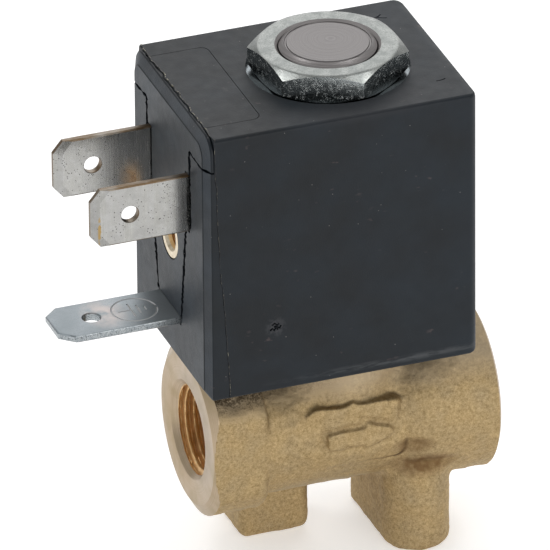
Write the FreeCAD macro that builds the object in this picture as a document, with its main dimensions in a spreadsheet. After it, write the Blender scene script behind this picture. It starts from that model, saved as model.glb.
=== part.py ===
import FreeCAD, Part
import os
import re

import Sketcher

# A direct acting 2/2 way solenoid valve, normally closed, with G1/8 ports and a 22 mm coil.
# The valve stands on its two feet. Z is the axis of the guide tube, with Z = 0 under the feet,
# the flow runs along +X, from the inlet at -X to the outlet at +X, and all sizes are in mm.

SIZES = {
    # forged body: a barrel along the flow, a boss round each port, and a neck for the tube
    "body_length": 30.4,
    "port_height": 14.6,
    "boss_radius": 8.9,
    "inlet_boss_length": 5.9,
    "outlet_boss_length": 10.4,
    "barrel_radius": 7.7,
    "neck_radius": 7.4,
    "face_radius": 7.75,
    "face_bevel": 30,
    "spanner_flats": 15.5,
    "shoulder_slope": 0.5,
    "outlet_slope": 2.8,
    # feet and the panel that carries the flow arrow
    "inlet_foot_place": 5.95,
    "inlet_foot_length": 7.5,
    "inlet_foot_front": 1.0,
    "foot_reach": 7.7,
    "outlet_foot_place": 7.45,
    "outlet_foot_radius": 3.5,
    "foot_round": 0.9,
    "panel_place": 0.4,
    "panel_length": 10.2,
    "panel_rise": 3.6,
    "panel_drop": 3.0,
    "panel_face": 8.0,
    "panel_round": 1.6,
    # ports and passages
    "port_radius": 4.283,
    "port_depth": 8.0,
    "port_mouth_radius": 5.2,
    "inlet_drill_radius": 2.4,
    "inlet_drill_end": 3.6,
    "outlet_drill_radius": 2.0,
    "outlet_drill_past": 0.2,
    "drill_point": 31,
    "riser_radius": 1.1,
    "riser_place": 3.4,
    "orifice_radius": 1.25,
    "seat_radius": 2.2,
    "seat_bevel": 0.5,
    "seat_height": 1.7,
    "chamber_radius": 4.7,
    "chamber_depth": 1.0,
    "gland_bore_radius": 6.05,
    "gland_bore_depth": 5.0,
    # guide tube, core and plunger
    "thread_gap": 0.07,
    "gland_bevel": 0.35,
    "seal_room": 1.2,
    "tube_radius": 4.95,
    "tube_wall": 0.45,
    "tube_length": 29.8,
    "core_gap": 0.05,
    "plunger_gap": 0.1,
    "plunger_length": 18.0,
    "stroke": 1.5,
    "stop_gap": 0.05,
    "flute_radius": 0.7,
    "flute_count": 4,
    "seal_radius": 2.6,
    "seal_thickness": 2.2,
    "seal_proud": 0.2,
    "seal_lip_radius": 2.25,
    "seal_lip_height": 0.5,
    "spring_wire": 0.5,
    "spring_radius": 1.85,
    "spring_turns": 5.5,
    "spring_sides": 6,
    "spring_bore_gap": 0.3,
    "spring_bore_depth": 11.0,
    "shading_inner": 2.9,
    "shading_outer": 3.5,
    "shading_height": 1.0,
    "stud_radius": 4.9,
    "stud_proud": 0.2,
    "stud_bevel_width": 0.6,
    "stud_bevel_height": 0.4,
    "nut_flats": 14.0,
    "nut_height": 3.0,
    "nut_turn": 36,
    "nut_bevel_radius": 6.9,
    # coil: black case with the yoke, the bobbin and the terminals moulded in
    "coil_gap": 0.25,
    "coil_height": 29.25,
    "coil_left": 16.9,
    "coil_right": 11.75,
    "coil_width": 22.0,
    "left_bevel_depth": 0.6,
    "left_bevel_width": 1.15,
    "left_bevel_top": 1.1,
    "left_bevel_bottom": 0.7,
    "case_round": 1.0,
    "case_edge_round": 0.45,
    "recess_radius": 8.2,
    "recess_depth": 0.57,
    "mould_gap": 0.04,
    "yoke_sheet": 1.8,
    "yoke_width": 17.0,
    "yoke_left": 9.0,
    "yoke_right": 10.9,
    "yoke_bend": 0.4,
    "yoke_hole_gap": 0.2,
    "bobbin_gap": 0.1,
    "bobbin_wall": 0.7,
    "flange_radius": 8.5,
    "flange_thickness": 1.0,
    "winding_gap": 0.05,
    "winding_radius": 8.3,
    "tape_thickness": 0.1,
    "lead_radius": 0.25,
    # terminal block in the left face
    "block_depth": 6.95,
    "block_width": 16.1,
    "block_round": 1.0,
    "band_drop": 3.5,
    "band_depth": 0.85,
    "column_wall": 0.25,
    "column_drop": 12.6,
    "column_step": 0.8,
    "column_neck": 9.8,
    "column_foot": 6.6,
    # tabs and insert
    "tab_width": 6.3,
    "tab_thickness": 0.8,
    "tab_spread": 11.0,
    "tab_level": 9.2,
    "tab_reach": 10.25,
    "tab_depth": 6.4,
    "tab_bevel_length": 1.05,
    "tab_bevel_width": 1.25,
    "tab_hole_radius": 0.9,
    "tab_hole_place": 4.1,
    "earth_drop": 23.6,
    "earth_reach": 12.5,
    "earth_hole_place": 4.2,
    "earth_bevel_length": 1.4,
    "earth_bevel_width": 1.3,
    "earth_bend": 0.7,
    "insert_radius": 2.5,
    "insert_bore_radius": 1.23,
    "insert_length": 6.0,
    "insert_recess": 0.1,
    "insert_drop": 15.8,
    "insert_mouth": 0.2,
    "insert_groove_depth": 0.3,
    "insert_groove_length": 1.2,
}

# Places that follow from the sizes.
PLACES = {
    "body_end": "body_length / 2",
    "body_height": "port_height + boss_radius",
    "inlet_boss_end": "inlet_boss_length - body_end",
    "outlet_boss_start": "body_end - outlet_boss_length",
    "port_end": "body_end - port_depth",
    "gland_bore_floor": "body_height - gland_bore_depth",
    "chamber_floor": "gland_bore_floor - chamber_depth",
    "seat_top": "chamber_floor + seat_height",
    "gland_bottom": "gland_bore_floor + seal_room",
    "gland_radius": "gland_bore_radius - core_gap",
    "tube_top": "gland_bottom + tube_length",
    "tube_bore": "tube_radius - tube_wall",
    "plunger_radius": "tube_bore - plunger_gap",
    "plunger_bottom": "seat_top + seal_proud",
    "plunger_top": "plunger_bottom + plunger_length",
    "core_bottom": "plunger_top + stroke + stop_gap",
    "core_radius": "tube_bore - core_gap",
    "spring_bore_floor": "plunger_top - spring_bore_depth",
    "coil_bottom": "body_height + coil_gap",
    "coil_top": "coil_bottom + coil_height",
    "yoke_bottom": "coil_bottom + recess_depth",
    "yoke_top": "coil_top - recess_depth",
    "nut_top": "yoke_top + nut_height",
    "stud_top": "nut_top + stud_proud",
    "window_bottom": "yoke_bottom + yoke_sheet",
    "window_top": "yoke_top - yoke_sheet",
    "nut_corner": "nut_flats / 2 / cos(30)",
    "bobbin_bore": "tube_radius + bobbin_gap",
    "bobbin_radius": "bobbin_bore + bobbin_wall",
    "block_back": "block_depth - coil_left",
    "band_bottom": "coil_top - band_drop",
    "column_width": "tab_spread + tab_thickness + 2 * column_wall",
    "tab_height": "coil_top - tab_level",
    "tab_tip": "-coil_left - tab_reach",
    "tab_root": "coil_left - tab_depth",
    "earth_top": "coil_top - earth_drop",
    "earth_bottom": "earth_top - tab_thickness",
    "earth_tip": "-coil_left - earth_reach",
    "insert_height": "coil_top - insert_drop",
    "insert_front": "insert_recess - coil_left",
}

doc = FreeCAD.newDocument("SolenoidValve")
sheet = doc.addObject("Spreadsheet::Sheet", "Sizes")
for row, (name, size) in enumerate(SIZES.items(), start=1):
    sheet.set(f"A{row}", name)
    sheet.set(f"B{row}", str(size))
    sheet.setAlias(f"B{row}", name)
doc.recompute()


# Expressions

def sized(text):
    """Write an expression out, with each place worked out from the cells of the sheet."""
    def word(match):
        name = match.group(0)
        if name in PLACES:
            return "(" + sized(PLACES[name]) + ")"
        return "Sizes." + name if name in SIZES else name
    return re.sub(r"[a-z_]+", word, text)


def value(text):
    """The number that an expression comes to."""
    return float(ruler.evalExpression(sized(text)))


ruler = doc.addObject("App::FeaturePython", "Ruler")


# Sketches

def new_body(name):
    body = doc.addObject("PartDesign::Body", name)
    body.Label = name
    return body


def new_sketch(body, plane, x="0", y="0", lift="0"):
    """A sketch on an origin plane of the body, with its own origin moved by x, y and lift."""
    sketch = body.newObject("Sketcher::SketchObject", body.Name + "_sketch")
    face = [item for item in body.Origin.OriginFeatures if item.Role == plane + "_Plane"][0]
    sketch.AttachmentSupport = [(face, "")]
    sketch.MapMode = "FlatFace"
    sketch.setExpression("AttachmentOffset.Base.x", sized(x))
    sketch.setExpression("AttachmentOffset.Base.y", sized(y))
    sketch.setExpression("AttachmentOffset.Base.z", sized(lift))
    return sketch


def hold(sketch, kind, parts, text):
    """Add a constraint and bind its value to an expression."""
    index = sketch.addConstraint(Sketcher.Constraint(kind, *parts, value(text)))
    sketch.setExpression(f"Constraints[{index}]", sized(text))


def hold_point(sketch, geometry, end, x, y):
    """Place one point of the geometry from the origin of the sketch."""
    hold(sketch, "DistanceX", (-1, 1, geometry, end), x)
    hold(sketch, "DistanceY", (-1, 1, geometry, end), y)


def draw_outline(sketch, points):
    """A closed outline with straight sides through points given as pairs of expressions."""
    corners = [FreeCAD.Vector(value(x), value(y), 0) for x, y in points]
    first = sketch.GeometryCount
    count = len(corners)
    for index in range(count):
        side = Part.LineSegment(corners[index], corners[(index + 1) % count])
        sketch.addGeometry(side, False)
    for index in range(count):
        after = first + (index + 1) % count
        sketch.addConstraint(Sketcher.Constraint("Coincident", first + index, 2, after, 1))
    for index, (x, y) in enumerate(points):
        hold_point(sketch, first + index, 1, x, y)


def draw_box(sketch, left, right, bottom, top):
    draw_outline(sketch, [(left, bottom), (right, bottom), (right, top), (left, top)])


def draw_circle(sketch, x, y, radius):
    centre = FreeCAD.Vector(value(x), value(y), 0)
    circle = Part.Circle(centre, FreeCAD.Vector(0, 0, 1), value(radius))
    index = sketch.addGeometry(circle, False)
    hold_point(sketch, index, 3, x, y)
    hold(sketch, "Radius", (index,), radius)


def draw_slot(sketch, x, reach, radius):
    """A slot along the second axis of the sketch, with round ends centred at +-reach."""
    side = value(radius)
    upper = FreeCAD.Vector(value(x), value(reach), 0)
    lower = FreeCAD.Vector(value(x), -value(reach), 0)
    across = FreeCAD.Vector(side, 0, 0)
    up = FreeCAD.Vector(0, side, 0)
    first = sketch.GeometryCount
    sketch.addGeometry(Part.Arc(upper + across, upper + up, upper - across), False)
    sketch.addGeometry(Part.LineSegment(upper - across, lower - across), False)
    sketch.addGeometry(Part.Arc(lower - across, lower - up, lower + across), False)
    sketch.addGeometry(Part.LineSegment(lower + across, upper + across), False)
    joints = [(0, 2, 1, 1), (1, 2, 2, 1), (2, 2, 3, 1), (3, 2, 0, 1)]
    for one, one_end, other, other_end in joints:
        ends = (first + one, one_end, first + other, other_end)
        sketch.addConstraint(Sketcher.Constraint("Tangent", *ends))
    hold_point(sketch, first, 3, x, reach)
    hold_point(sketch, first + 2, 3, x, "-(" + reach + ")")
    hold(sketch, "Radius", (first,), radius)
    hold(sketch, "Radius", (first + 2,), radius)


# Features

def pad(body, sketch, length, both=False):
    feature = body.newObject("PartDesign::Pad", body.Name + "_pad")
    feature.Profile = sketch
    feature.setExpression("Length", sized(length))
    feature.Midplane = both
    doc.recompute()
    return feature


def pocket(body, sketch, length=None, both=False, back=False):
    """Cut along the sketch's normal backwards, or forwards with back, or right through."""
    feature = body.newObject("PartDesign::Pocket", body.Name + "_pocket")
    feature.Profile = sketch
    if length:
        feature.setExpression("Length", sized(length))
    else:
        feature.Type = "ThroughAll"
    feature.Midplane = both
    feature.Reversed = back
    doc.recompute()
    return feature


def turn(body, sketch, axis="V_Axis", cut=False):
    """Revolve the sketch round one of its own axes, as material or as a cut."""
    kind = "PartDesign::Groove" if cut else "PartDesign::Revolution"
    feature = body.newObject(kind, body.Name + "_turn")
    feature.Profile = sketch
    feature.ReferenceAxis = (sketch, [axis])
    feature.Angle = 360
    doc.recompute()
    return feature


def edges_inside(body, x=None, y=None, z=None, straight=False):
    """Names of the edges that lie wholly between the given limits, each a pair of numbers."""
    slack = 0.01
    names = []
    for index, edge in enumerate(body.Tip.Shape.Edges, start=1):
        box = edge.BoundBox
        spans = [(x, box.XMin, box.XMax), (y, box.YMin, box.YMax), (z, box.ZMin, box.ZMax)]
        inside = all(limits is None or limits[0] - slack <= low and high <= limits[1] + slack
                     for limits, low, high in spans)
        line = abs(edge.Length - box.DiagonalLength) < slack
        if inside and (line or not straight):
            names.append(f"Edge{index}")
    return names


def fillet(body, edges, radius):
    feature = body.newObject("PartDesign::Fillet", body.Name + "_fillet")
    feature.Base = (feature.BaseFeature, edges)
    feature.setExpression("Radius", sized(radius))
    doc.recompute()
    return feature


def turned_part(name, points):
    """A part turned round Z from an outline of (radius, height) pairs."""
    body = new_body(name)
    sketch = new_sketch(body, "XZ")
    draw_outline(sketch, points)
    turn(body, sketch)
    return body


# Valve body side

def valve_body():
    """Forging with its ports, passages and seat cut in."""
    body = new_body("valve_body")
    bevel = "(boss_radius - face_radius) * tan(face_bevel)"

    barrel = new_sketch(body, "XZ", y="port_height")
    draw_outline(barrel, [
        ("-body_end", "0"),
        ("-body_end", "face_radius"),
        ("-body_end + " + bevel, "boss_radius"),
        ("inlet_boss_end - shoulder_slope", "boss_radius"),
        ("inlet_boss_end", "barrel_radius"),
        ("outlet_boss_start", "barrel_radius"),
        ("outlet_boss_start + outlet_slope", "boss_radius"),
        ("body_end - " + bevel, "boss_radius"),
        ("body_end", "face_radius"),
        ("body_end", "0"),
    ])
    turn(body, barrel, "H_Axis")

    flats = new_sketch(body, "YZ", lift="-body_end")
    edge = "boss_radius + 1"
    for side in ("-", ""):
        draw_box(flats, f"{side}spanner_flats / 2", f"{side}({edge})",
                 "port_height - boss_radius - 1", "port_height + boss_radius + 1")
    pocket(body, flats, "inlet_boss_length", back=True)

    neck = new_sketch(body, "XY", lift="port_height")
    draw_circle(neck, "0", "0", "neck_radius")
    pad(body, neck, "body_height - port_height")

    panel = new_sketch(body, "XZ", y="port_height")
    draw_box(panel, "panel_place - panel_length / 2", "panel_place + panel_length / 2",
             "-panel_drop", "panel_rise")
    pad(body, panel, "panel_face")
    corner = edges_inside(body, x=(value("panel_place"), 99), y=(-99, 0),
                          z=(0, value("port_height - panel_drop")), straight=True)
    across = [name for name in corner if crosswise(body, name)]
    fillet(body, across, "panel_round")

    feet = new_sketch(body, "XY")
    draw_box(feet, "-inlet_foot_place - inlet_foot_length / 2",
             "-inlet_foot_place + inlet_foot_length / 2", "inlet_foot_front", "foot_reach")
    draw_slot(feet, "outlet_foot_place", "foot_reach - outlet_foot_radius", "outlet_foot_radius")
    pad(body, feet, "port_height")
    fillet(body, edges_inside(body, z=(0, 0)), "foot_round")

    chamber = new_sketch(body, "XZ")
    draw_outline(chamber, [
        ("0", "body_height"),
        ("gland_bore_radius", "body_height"),
        ("gland_bore_radius", "gland_bore_floor"),
        ("chamber_radius", "gland_bore_floor"),
        ("chamber_radius", "chamber_floor"),
        ("seat_radius", "chamber_floor"),
        ("seat_radius", "seat_top - seat_bevel"),
        ("seat_radius - seat_bevel / 2", "seat_top"),
        ("orifice_radius", "seat_top"),
        ("orifice_radius", "port_height"),
        ("0", "port_height"),
    ])
    turn(body, chamber, cut=True)

    bore_port(body, "-", "inlet_drill_radius", "inlet_drill_end")
    bore_port(body, "", "outlet_drill_radius", "-outlet_drill_past")

    riser = new_sketch(body, "XY", lift="chamber_floor")
    draw_circle(riser, "-riser_place", "0", "riser_radius")
    pocket(body, riser, "chamber_floor - port_height")
    return body


def crosswise(body, name):
    """True for an edge of the body that runs along Y."""
    box = body.Tip.Shape.getElement(name).BoundBox
    return box.YLength > 0.1 and box.XLength < 0.01 and box.ZLength < 0.01


def bore_port(body, side, drill_radius, drill_end):
    """Tapped port with a countersunk mouth, and the smaller drill that leads on from it."""
    hole = new_sketch(body, "XZ", y="port_height")
    mouth = "(port_mouth_radius - port_radius)"
    shoulder = f"(port_radius - {drill_radius}) * tan(drill_point)"
    draw_outline(hole, [
        (f"{side}body_end", "0"),
        (f"{side}body_end", "port_mouth_radius"),
        (f"{side}(body_end - {mouth})", "port_radius"),
        (f"{side}port_end", "port_radius"),
        (f"{side}(port_end - {shoulder})", drill_radius),
        (f"{side}({drill_end})", drill_radius),
        (f"{side}({drill_end} - {drill_radius} * tan(drill_point))", "0"),
    ])
    turn(body, hole, "H_Axis", cut=True)


def tube_gland():
    """Gland ring brazed to the tube and held in the neck; the coil stands on it."""
    return turned_part("tube_gland", [
        ("tube_radius + core_gap / 2", "gland_bottom"),
        ("gland_radius", "gland_bottom"),
        ("gland_radius", "yoke_bottom - gland_bevel"),
        ("gland_radius - gland_bevel", "yoke_bottom"),
        ("tube_radius + core_gap / 2", "yoke_bottom"),
    ])


def tube_o_ring():
    """Seal squeezed flat between the counterbore's floor and the gland with the tube's end."""
    inner = "(chamber_radius + core_gap)"
    outer = "(gland_bore_radius - core_gap)"
    bulge = "seal_room / 4"
    return turned_part("tube_o_ring", [
        (f"{inner} + {bulge}", "gland_bore_floor"),
        (f"{outer} - {bulge}", "gland_bore_floor"),
        (outer, f"gland_bore_floor + {bulge}"),
        (outer, f"gland_bottom - {bulge}"),
        (f"{outer} - {bulge}", "gland_bottom"),
        (f"{inner} + {bulge}", "gland_bottom"),
        (inner, f"gland_bottom - {bulge}"),
        (inner, f"gland_bore_floor + {bulge}"),
    ])


def guide_tube():
    return turned_part("guide_tube", [
        ("tube_bore", "gland_bottom"),
        ("tube_radius", "gland_bottom"),
        ("tube_radius", "tube_top"),
        ("tube_bore", "tube_top"),
    ])


def fixed_core():
    """Core with the shading ring's groove below and the threaded end for the nut above."""
    return turned_part("fixed_core", [
        ("0", "core_bottom"),
        ("shading_inner - core_gap", "core_bottom"),
        ("shading_inner - core_gap", "core_bottom + shading_height"),
        ("shading_outer + core_gap", "core_bottom + shading_height"),
        ("shading_outer + core_gap", "core_bottom"),
        ("core_radius", "core_bottom"),
        ("core_radius", "tube_top"),
        ("stud_radius", "tube_top"),
        ("stud_radius", "stud_top - stud_bevel_height"),
        ("stud_radius - stud_bevel_width", "stud_top"),
        ("0", "stud_top"),
    ])


def shading_ring():
    return turned_part("shading_ring", [
        ("shading_inner", "core_bottom"),
        ("shading_outer", "core_bottom"),
        ("shading_outer", "core_bottom + shading_height"),
        ("shading_inner", "core_bottom + shading_height"),
    ])


def retaining_nut():
    """Thin hexagon nut with both faces bevelled and both mouths countersunk."""
    body = new_body("retaining_nut")
    hexagon = new_sketch(body, "XY", lift="yoke_top")
    draw_outline(hexagon, [
        (f"nut_corner * cos(nut_turn + {turn_angle})", f"nut_corner * sin(nut_turn + {turn_angle})")
        for turn_angle in range(0, 360, 60)
    ])
    pad(body, hexagon, "nut_height")

    outside = "nut_corner + 1"
    slope = "(nut_corner + 1 - nut_bevel_radius) * tan(30)"
    for face, way in (("nut_top", "-"), ("yoke_top", "+")):
        bevel = new_sketch(body, "XZ")
        draw_outline(bevel, [
            ("nut_bevel_radius", face),
            (outside, face),
            (outside, f"{face} {way} {slope}"),
        ])
        turn(body, bevel, cut=True)

    bore = "stud_radius + thread_gap"
    mouth = "thread_gap * 5"
    hole = new_sketch(body, "XZ")
    draw_outline(hole, [
        ("0", "yoke_top"),
        (f"{bore} + {mouth}", "yoke_top"),
        (bore, f"yoke_top + {mouth}"),
        (bore, f"nut_top - {mouth}"),
        (f"{bore} + {mouth}", "nut_top"),
        ("0", "nut_top"),
    ])
    turn(body, hole, cut=True)
    return body


# Plunger side

def plunger():
    """Plunger with a crimped pocket for the seal, a bore for the spring and flow flutes."""
    bore = "spring_radius + spring_wire / 2 + spring_bore_gap"
    body = turned_part("plunger", [
        ("seal_lip_radius + core_gap", "plunger_bottom"),
        ("plunger_radius - 0.5", "plunger_bottom"),
        ("plunger_radius", "plunger_bottom + 0.5"),
        ("plunger_radius", "plunger_top"),
        (bore, "plunger_top"),
        (bore, "spring_bore_floor"),
        ("0", "spring_bore_floor"),
        ("0", "seat_top + seal_thickness + core_gap"),
        ("seal_radius + core_gap", "seat_top + seal_thickness + core_gap"),
        ("seal_radius + core_gap", "plunger_bottom + seal_lip_height"),
        ("seal_lip_radius + core_gap", "plunger_bottom + seal_lip_height"),
    ])
    flute = new_sketch(body, "XY", lift="plunger_top")
    draw_circle(flute, "plunger_radius", "0", "flute_radius")
    first = pocket(body, flute)
    flutes = body.newObject("PartDesign::PolarPattern", "plunger_flutes")
    flutes.Originals = [first]
    flutes.Axis = (flute, ["N_Axis"])
    flutes.Angle = 360
    flutes.setExpression("Occurrences", sized("flute_count"))
    body.Tip = flutes
    return body


def seat_seal():
    return turned_part("seat_seal", [
        ("0", "seat_top"),
        ("seal_lip_radius", "seat_top"),
        ("seal_lip_radius", "plunger_bottom + seal_lip_height + core_gap"),
        ("seal_radius", "plunger_bottom + seal_lip_height + core_gap"),
        ("seal_radius", "seat_top + seal_thickness"),
        ("0", "seat_top + seal_thickness"),
    ])


def plunger_spring():
    """Wire swept along a helix from the plunger's bore up to the core, with a many-sided section."""
    seat = "spring_wire / 2 + core_gap"
    height = f"core_bottom - spring_bore_floor - 2 * ({seat})"
    helix = doc.addObject("Part::Helix", "spring_helix")
    helix.setExpression("Radius", sized("spring_radius"))
    helix.setExpression("Height", sized(height))
    helix.setExpression("Pitch", sized(f"({height}) / spring_turns"))
    helix.setExpression("Placement.Base.z", sized(f"spring_bore_floor + {seat}"))
    wire = doc.addObject("Part::RegularPolygon", "spring_section")
    wire.setExpression("Polygon", sized("spring_sides"))
    wire.setExpression("Circumradius", sized("spring_wire / 2"))
    wire.Placement.Rotation = FreeCAD.Rotation(FreeCAD.Vector(1, 0, 0), 90)
    wire.setExpression("Placement.Base.x", sized("spring_radius"))
    wire.setExpression("Placement.Base.z", sized(f"spring_bore_floor + {seat}"))
    doc.recompute()
    spring = doc.addObject("Part::Sweep", "plunger_spring")
    spring.Label = "plunger_spring"
    spring.Sections = [wire]
    spring.Spine = (helix, ["Edge1"])
    spring.Solid = True
    spring.Frenet = True
    return spring


# Coil side

def case_outside(body):
    """The block of the case with its bevelled left face, which two parts share."""
    plan = new_sketch(body, "XY", lift="coil_bottom")
    draw_outline(plan, [
        ("-coil_left", "-coil_width / 2 + left_bevel_width"),
        ("-coil_left + left_bevel_depth", "-coil_width / 2"),
        ("coil_right", "-coil_width / 2"),
        ("coil_right", "coil_width / 2"),
        ("-coil_left + left_bevel_depth", "coil_width / 2"),
        ("-coil_left", "coil_width / 2 - left_bevel_width"),
    ])
    pad(body, plan, "coil_height")
    right = value("coil_right")
    fillet(body, edges_inside(body, x=(right, right), z=(value("coil_bottom"), value("coil_top")),
                              straight=True), "case_round")
    bevels = new_sketch(body, "XZ")
    draw_outline(bevels, [
        ("-coil_left", "coil_top"),
        ("-coil_left", "coil_top - left_bevel_top"),
        ("-coil_left + left_bevel_depth", "coil_top"),
    ])
    draw_outline(bevels, [
        ("-coil_left", "coil_bottom"),
        ("-coil_left + left_bevel_depth", "coil_bottom"),
        ("-coil_left", "coil_bottom + left_bevel_bottom"),
    ])
    pocket(body, bevels, "coil_width", both=True)


def block_outline(gap):
    """Half outline of the terminal block's column, from top to bottom, grown by a gap."""
    return [
        (f"column_width / 2 + {gap}", f"band_bottom - {gap}"),
        (f"column_width / 2 + {gap}", "coil_top - column_drop"),
        (f"column_neck / 2 + {gap}", "coil_top - column_drop - column_step"),
        (f"column_foot / 2 + {gap}", "earth_top"),
    ]


def mirrored(points):
    """The same points on the other side, in reverse order."""
    return [(f"-({x})", y) for x, y in reversed(points)]


def terminal_block():
    """Carrier of the tabs and the screw insert, flush in the left face and the top."""
    body = new_body("terminal_block")
    case_outside(body)
    behind = new_sketch(body, "XY", lift="coil_top + 1")
    draw_box(behind, "block_back", "coil_right + 1", "-coil_width", "coil_width")
    pocket(body, behind)
    beside = new_sketch(body, "XY", lift="coil_top + 1")
    for side in ("-", ""):
        draw_box(beside, "band_depth - coil_left", "coil_right", f"{side}block_width / 2",
                 f"{side}coil_width")
    pocket(body, beside)
    below = new_sketch(body, "YZ", lift="-coil_left - 1")
    column = block_outline("0")
    draw_outline(below, [("coil_width", "band_bottom")] + column + mirrored(column)
                 + [("-coil_width", "band_bottom"), ("-coil_width", "coil_bottom - 1"),
                    ("coil_width", "coil_bottom - 1")])
    pocket(body, below, back=True)
    back = value("block_back")
    side_faces = value("block_width / 2")
    for y in (-side_faces, side_faces):
        fillet(body, edges_inside(body, x=(back, back), y=(y, y)), "block_round")

    slots = new_sketch(body, "YZ", lift="-coil_left - 1")
    for side in ("-", ""):
        draw_box(slots, f"{side}(tab_spread / 2 - tab_thickness / 2 - mould_gap)",
                 f"{side}(tab_spread / 2 + tab_thickness / 2 + mould_gap)",
                 "tab_height - tab_width / 2 - mould_gap",
                 "tab_height + tab_width / 2 + mould_gap")
    pocket(body, slots, "1 + coil_left - tab_root", back=True)
    insert = new_sketch(body, "YZ", lift="-coil_left - 1")
    draw_circle(insert, "0", "insert_height", "insert_radius + mould_gap")
    pocket(body, insert, "1 + insert_recess + insert_length", back=True)
    leads = new_sketch(body, "YZ", lift="-tab_root")
    for side in ("-", ""):
        draw_circle(leads, f"{side}tab_spread / 2", "tab_height", "lead_radius + mould_gap")
    pocket(body, leads, back=True)
    return body


def coil_overmould():
    """Black encapsulation, open where the yoke shows in the recesses and round the block."""
    body = new_body("coil_overmould")
    case_outside(body)
    top = value("coil_top")
    half = value("coil_width / 2")
    for y in (-half, half):
        fillet(body, edges_inside(body, y=(y, y), z=(top, top), straight=True), "case_edge_round")

    band = new_sketch(body, "YZ", lift="-coil_left - 1")
    draw_box(band, "-coil_width", "coil_width", "band_bottom - mould_gap", "coil_top + 1")
    pocket(body, band, "1 + band_depth + mould_gap", back=True)
    recess = new_sketch(body, "YZ", lift="-coil_left - 1")
    column = block_outline("mould_gap")
    draw_outline(recess, [("block_width / 2 + mould_gap", "coil_top + 1"),
                          ("block_width / 2 + mould_gap", "band_bottom - mould_gap")]
                 + column + mirrored(column)
                 + [("-block_width / 2 - mould_gap", "band_bottom - mould_gap"),
                    ("-block_width / 2 - mould_gap", "coil_top + 1")])
    pocket(body, recess, "1 + block_depth + mould_gap", back=True)

    yoke_room = new_sketch(body, "XZ")
    draw_outline(yoke_room, yoke_outline("mould_gap"))
    pocket(body, yoke_room, "yoke_width + 2 * mould_gap", both=True)
    bend = value("yoke_right + mould_gap")
    for z in (value("yoke_bottom - mould_gap"), value("yoke_top + mould_gap")):
        fillet(body, edges_inside(body, x=(bend, bend), z=(z, z)),
               "yoke_bend + yoke_sheet + mould_gap")
    window = new_sketch(body, "XY", lift="window_top + mould_gap")
    draw_circle(window, "0", "0", "flange_radius + mould_gap")
    pocket(body, window, "window_top - window_bottom + 2 * mould_gap")
    for face, back in (("coil_top", False), ("coil_bottom", True)):
        mouth = new_sketch(body, "XY", lift=face)
        draw_circle(mouth, "0", "0", "recess_radius")
        pocket(body, mouth, "recess_depth", back=back)

    earth = new_sketch(body, "XZ")
    draw_outline(earth, earth_outline("mould_gap"))
    pocket(body, earth, "tab_width + 2 * mould_gap", both=True)
    leads = new_sketch(body, "YZ", lift="block_back - 1")
    for side in ("-", ""):
        draw_circle(leads, f"{side}tab_spread / 2", "tab_height", "lead_radius + mould_gap")
    pocket(body, leads, "1 - block_back", back=True)
    return body


def yoke_outline(gap):
    """C-shaped outline of the yoke, open to the left, grown by a gap."""
    return [
        (f"-yoke_left - {gap}", f"yoke_bottom - {gap}"),
        (f"yoke_right + {gap}", f"yoke_bottom - {gap}"),
        (f"yoke_right + {gap}", f"yoke_top + {gap}"),
        (f"-yoke_left - {gap}", f"yoke_top + {gap}"),
        (f"-yoke_left - {gap}", f"window_top - {gap}"),
        (f"yoke_right - yoke_sheet - {gap}", f"window_top - {gap}"),
        (f"yoke_right - yoke_sheet - {gap}", f"window_bottom + {gap}"),
        (f"-yoke_left - {gap}", f"window_bottom + {gap}"),
    ]


def yoke_frame():
    """Yoke bent from sheet, with the guide tube's hole in both ends."""
    body = new_body("yoke_frame")
    frame = new_sketch(body, "XZ")
    draw_outline(frame, yoke_outline("0"))
    pad(body, frame, "yoke_width", both=True)
    right = value("yoke_right")
    for z in (value("yoke_bottom"), value("yoke_top")):
        fillet(body, edges_inside(body, x=(right, right), z=(z, z)), "yoke_bend + yoke_sheet")
    inner = value("yoke_right - yoke_sheet")
    for z in (value("window_bottom"), value("window_top")):
        fillet(body, edges_inside(body, x=(inner, inner), z=(z, z)), "yoke_bend")
    hole = new_sketch(body, "XY", lift="yoke_top")
    draw_circle(hole, "0", "0", "tube_radius + yoke_hole_gap")
    pocket(body, hole)
    return body


def bobbin():
    return turned_part("bobbin", [
        ("bobbin_bore", "window_bottom"),
        ("flange_radius", "window_bottom"),
        ("flange_radius", "window_bottom + flange_thickness"),
        ("bobbin_radius", "window_bottom + flange_thickness"),
        ("bobbin_radius", "window_top - flange_thickness"),
        ("flange_radius", "window_top - flange_thickness"),
        ("flange_radius", "window_top"),
        ("bobbin_bore", "window_top"),
    ])


def wound_ring(name, inner, outer):
    """A ring that fills the bobbin from flange to flange."""
    return turned_part(name, [
        (inner, "window_bottom + flange_thickness"),
        (outer, "window_bottom + flange_thickness"),
        (outer, "window_top - flange_thickness"),
        (inner, "window_top - flange_thickness"),
    ])


def coil_winding():
    return wound_ring("coil_winding", "bobbin_radius + winding_gap", "winding_radius")


def winding_tape():
    """Wrap round the winding, cut out on the left where the leads come through."""
    inner = "winding_radius + winding_gap"
    body = wound_ring("winding_tape", inner, f"{inner} + tape_thickness")
    notch = new_sketch(body, "YZ")
    draw_box(notch, "-tab_spread / 2 - 1", "tab_spread / 2 + 1", "tab_height - 1", "window_top")
    pocket(body, notch)
    return body


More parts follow.
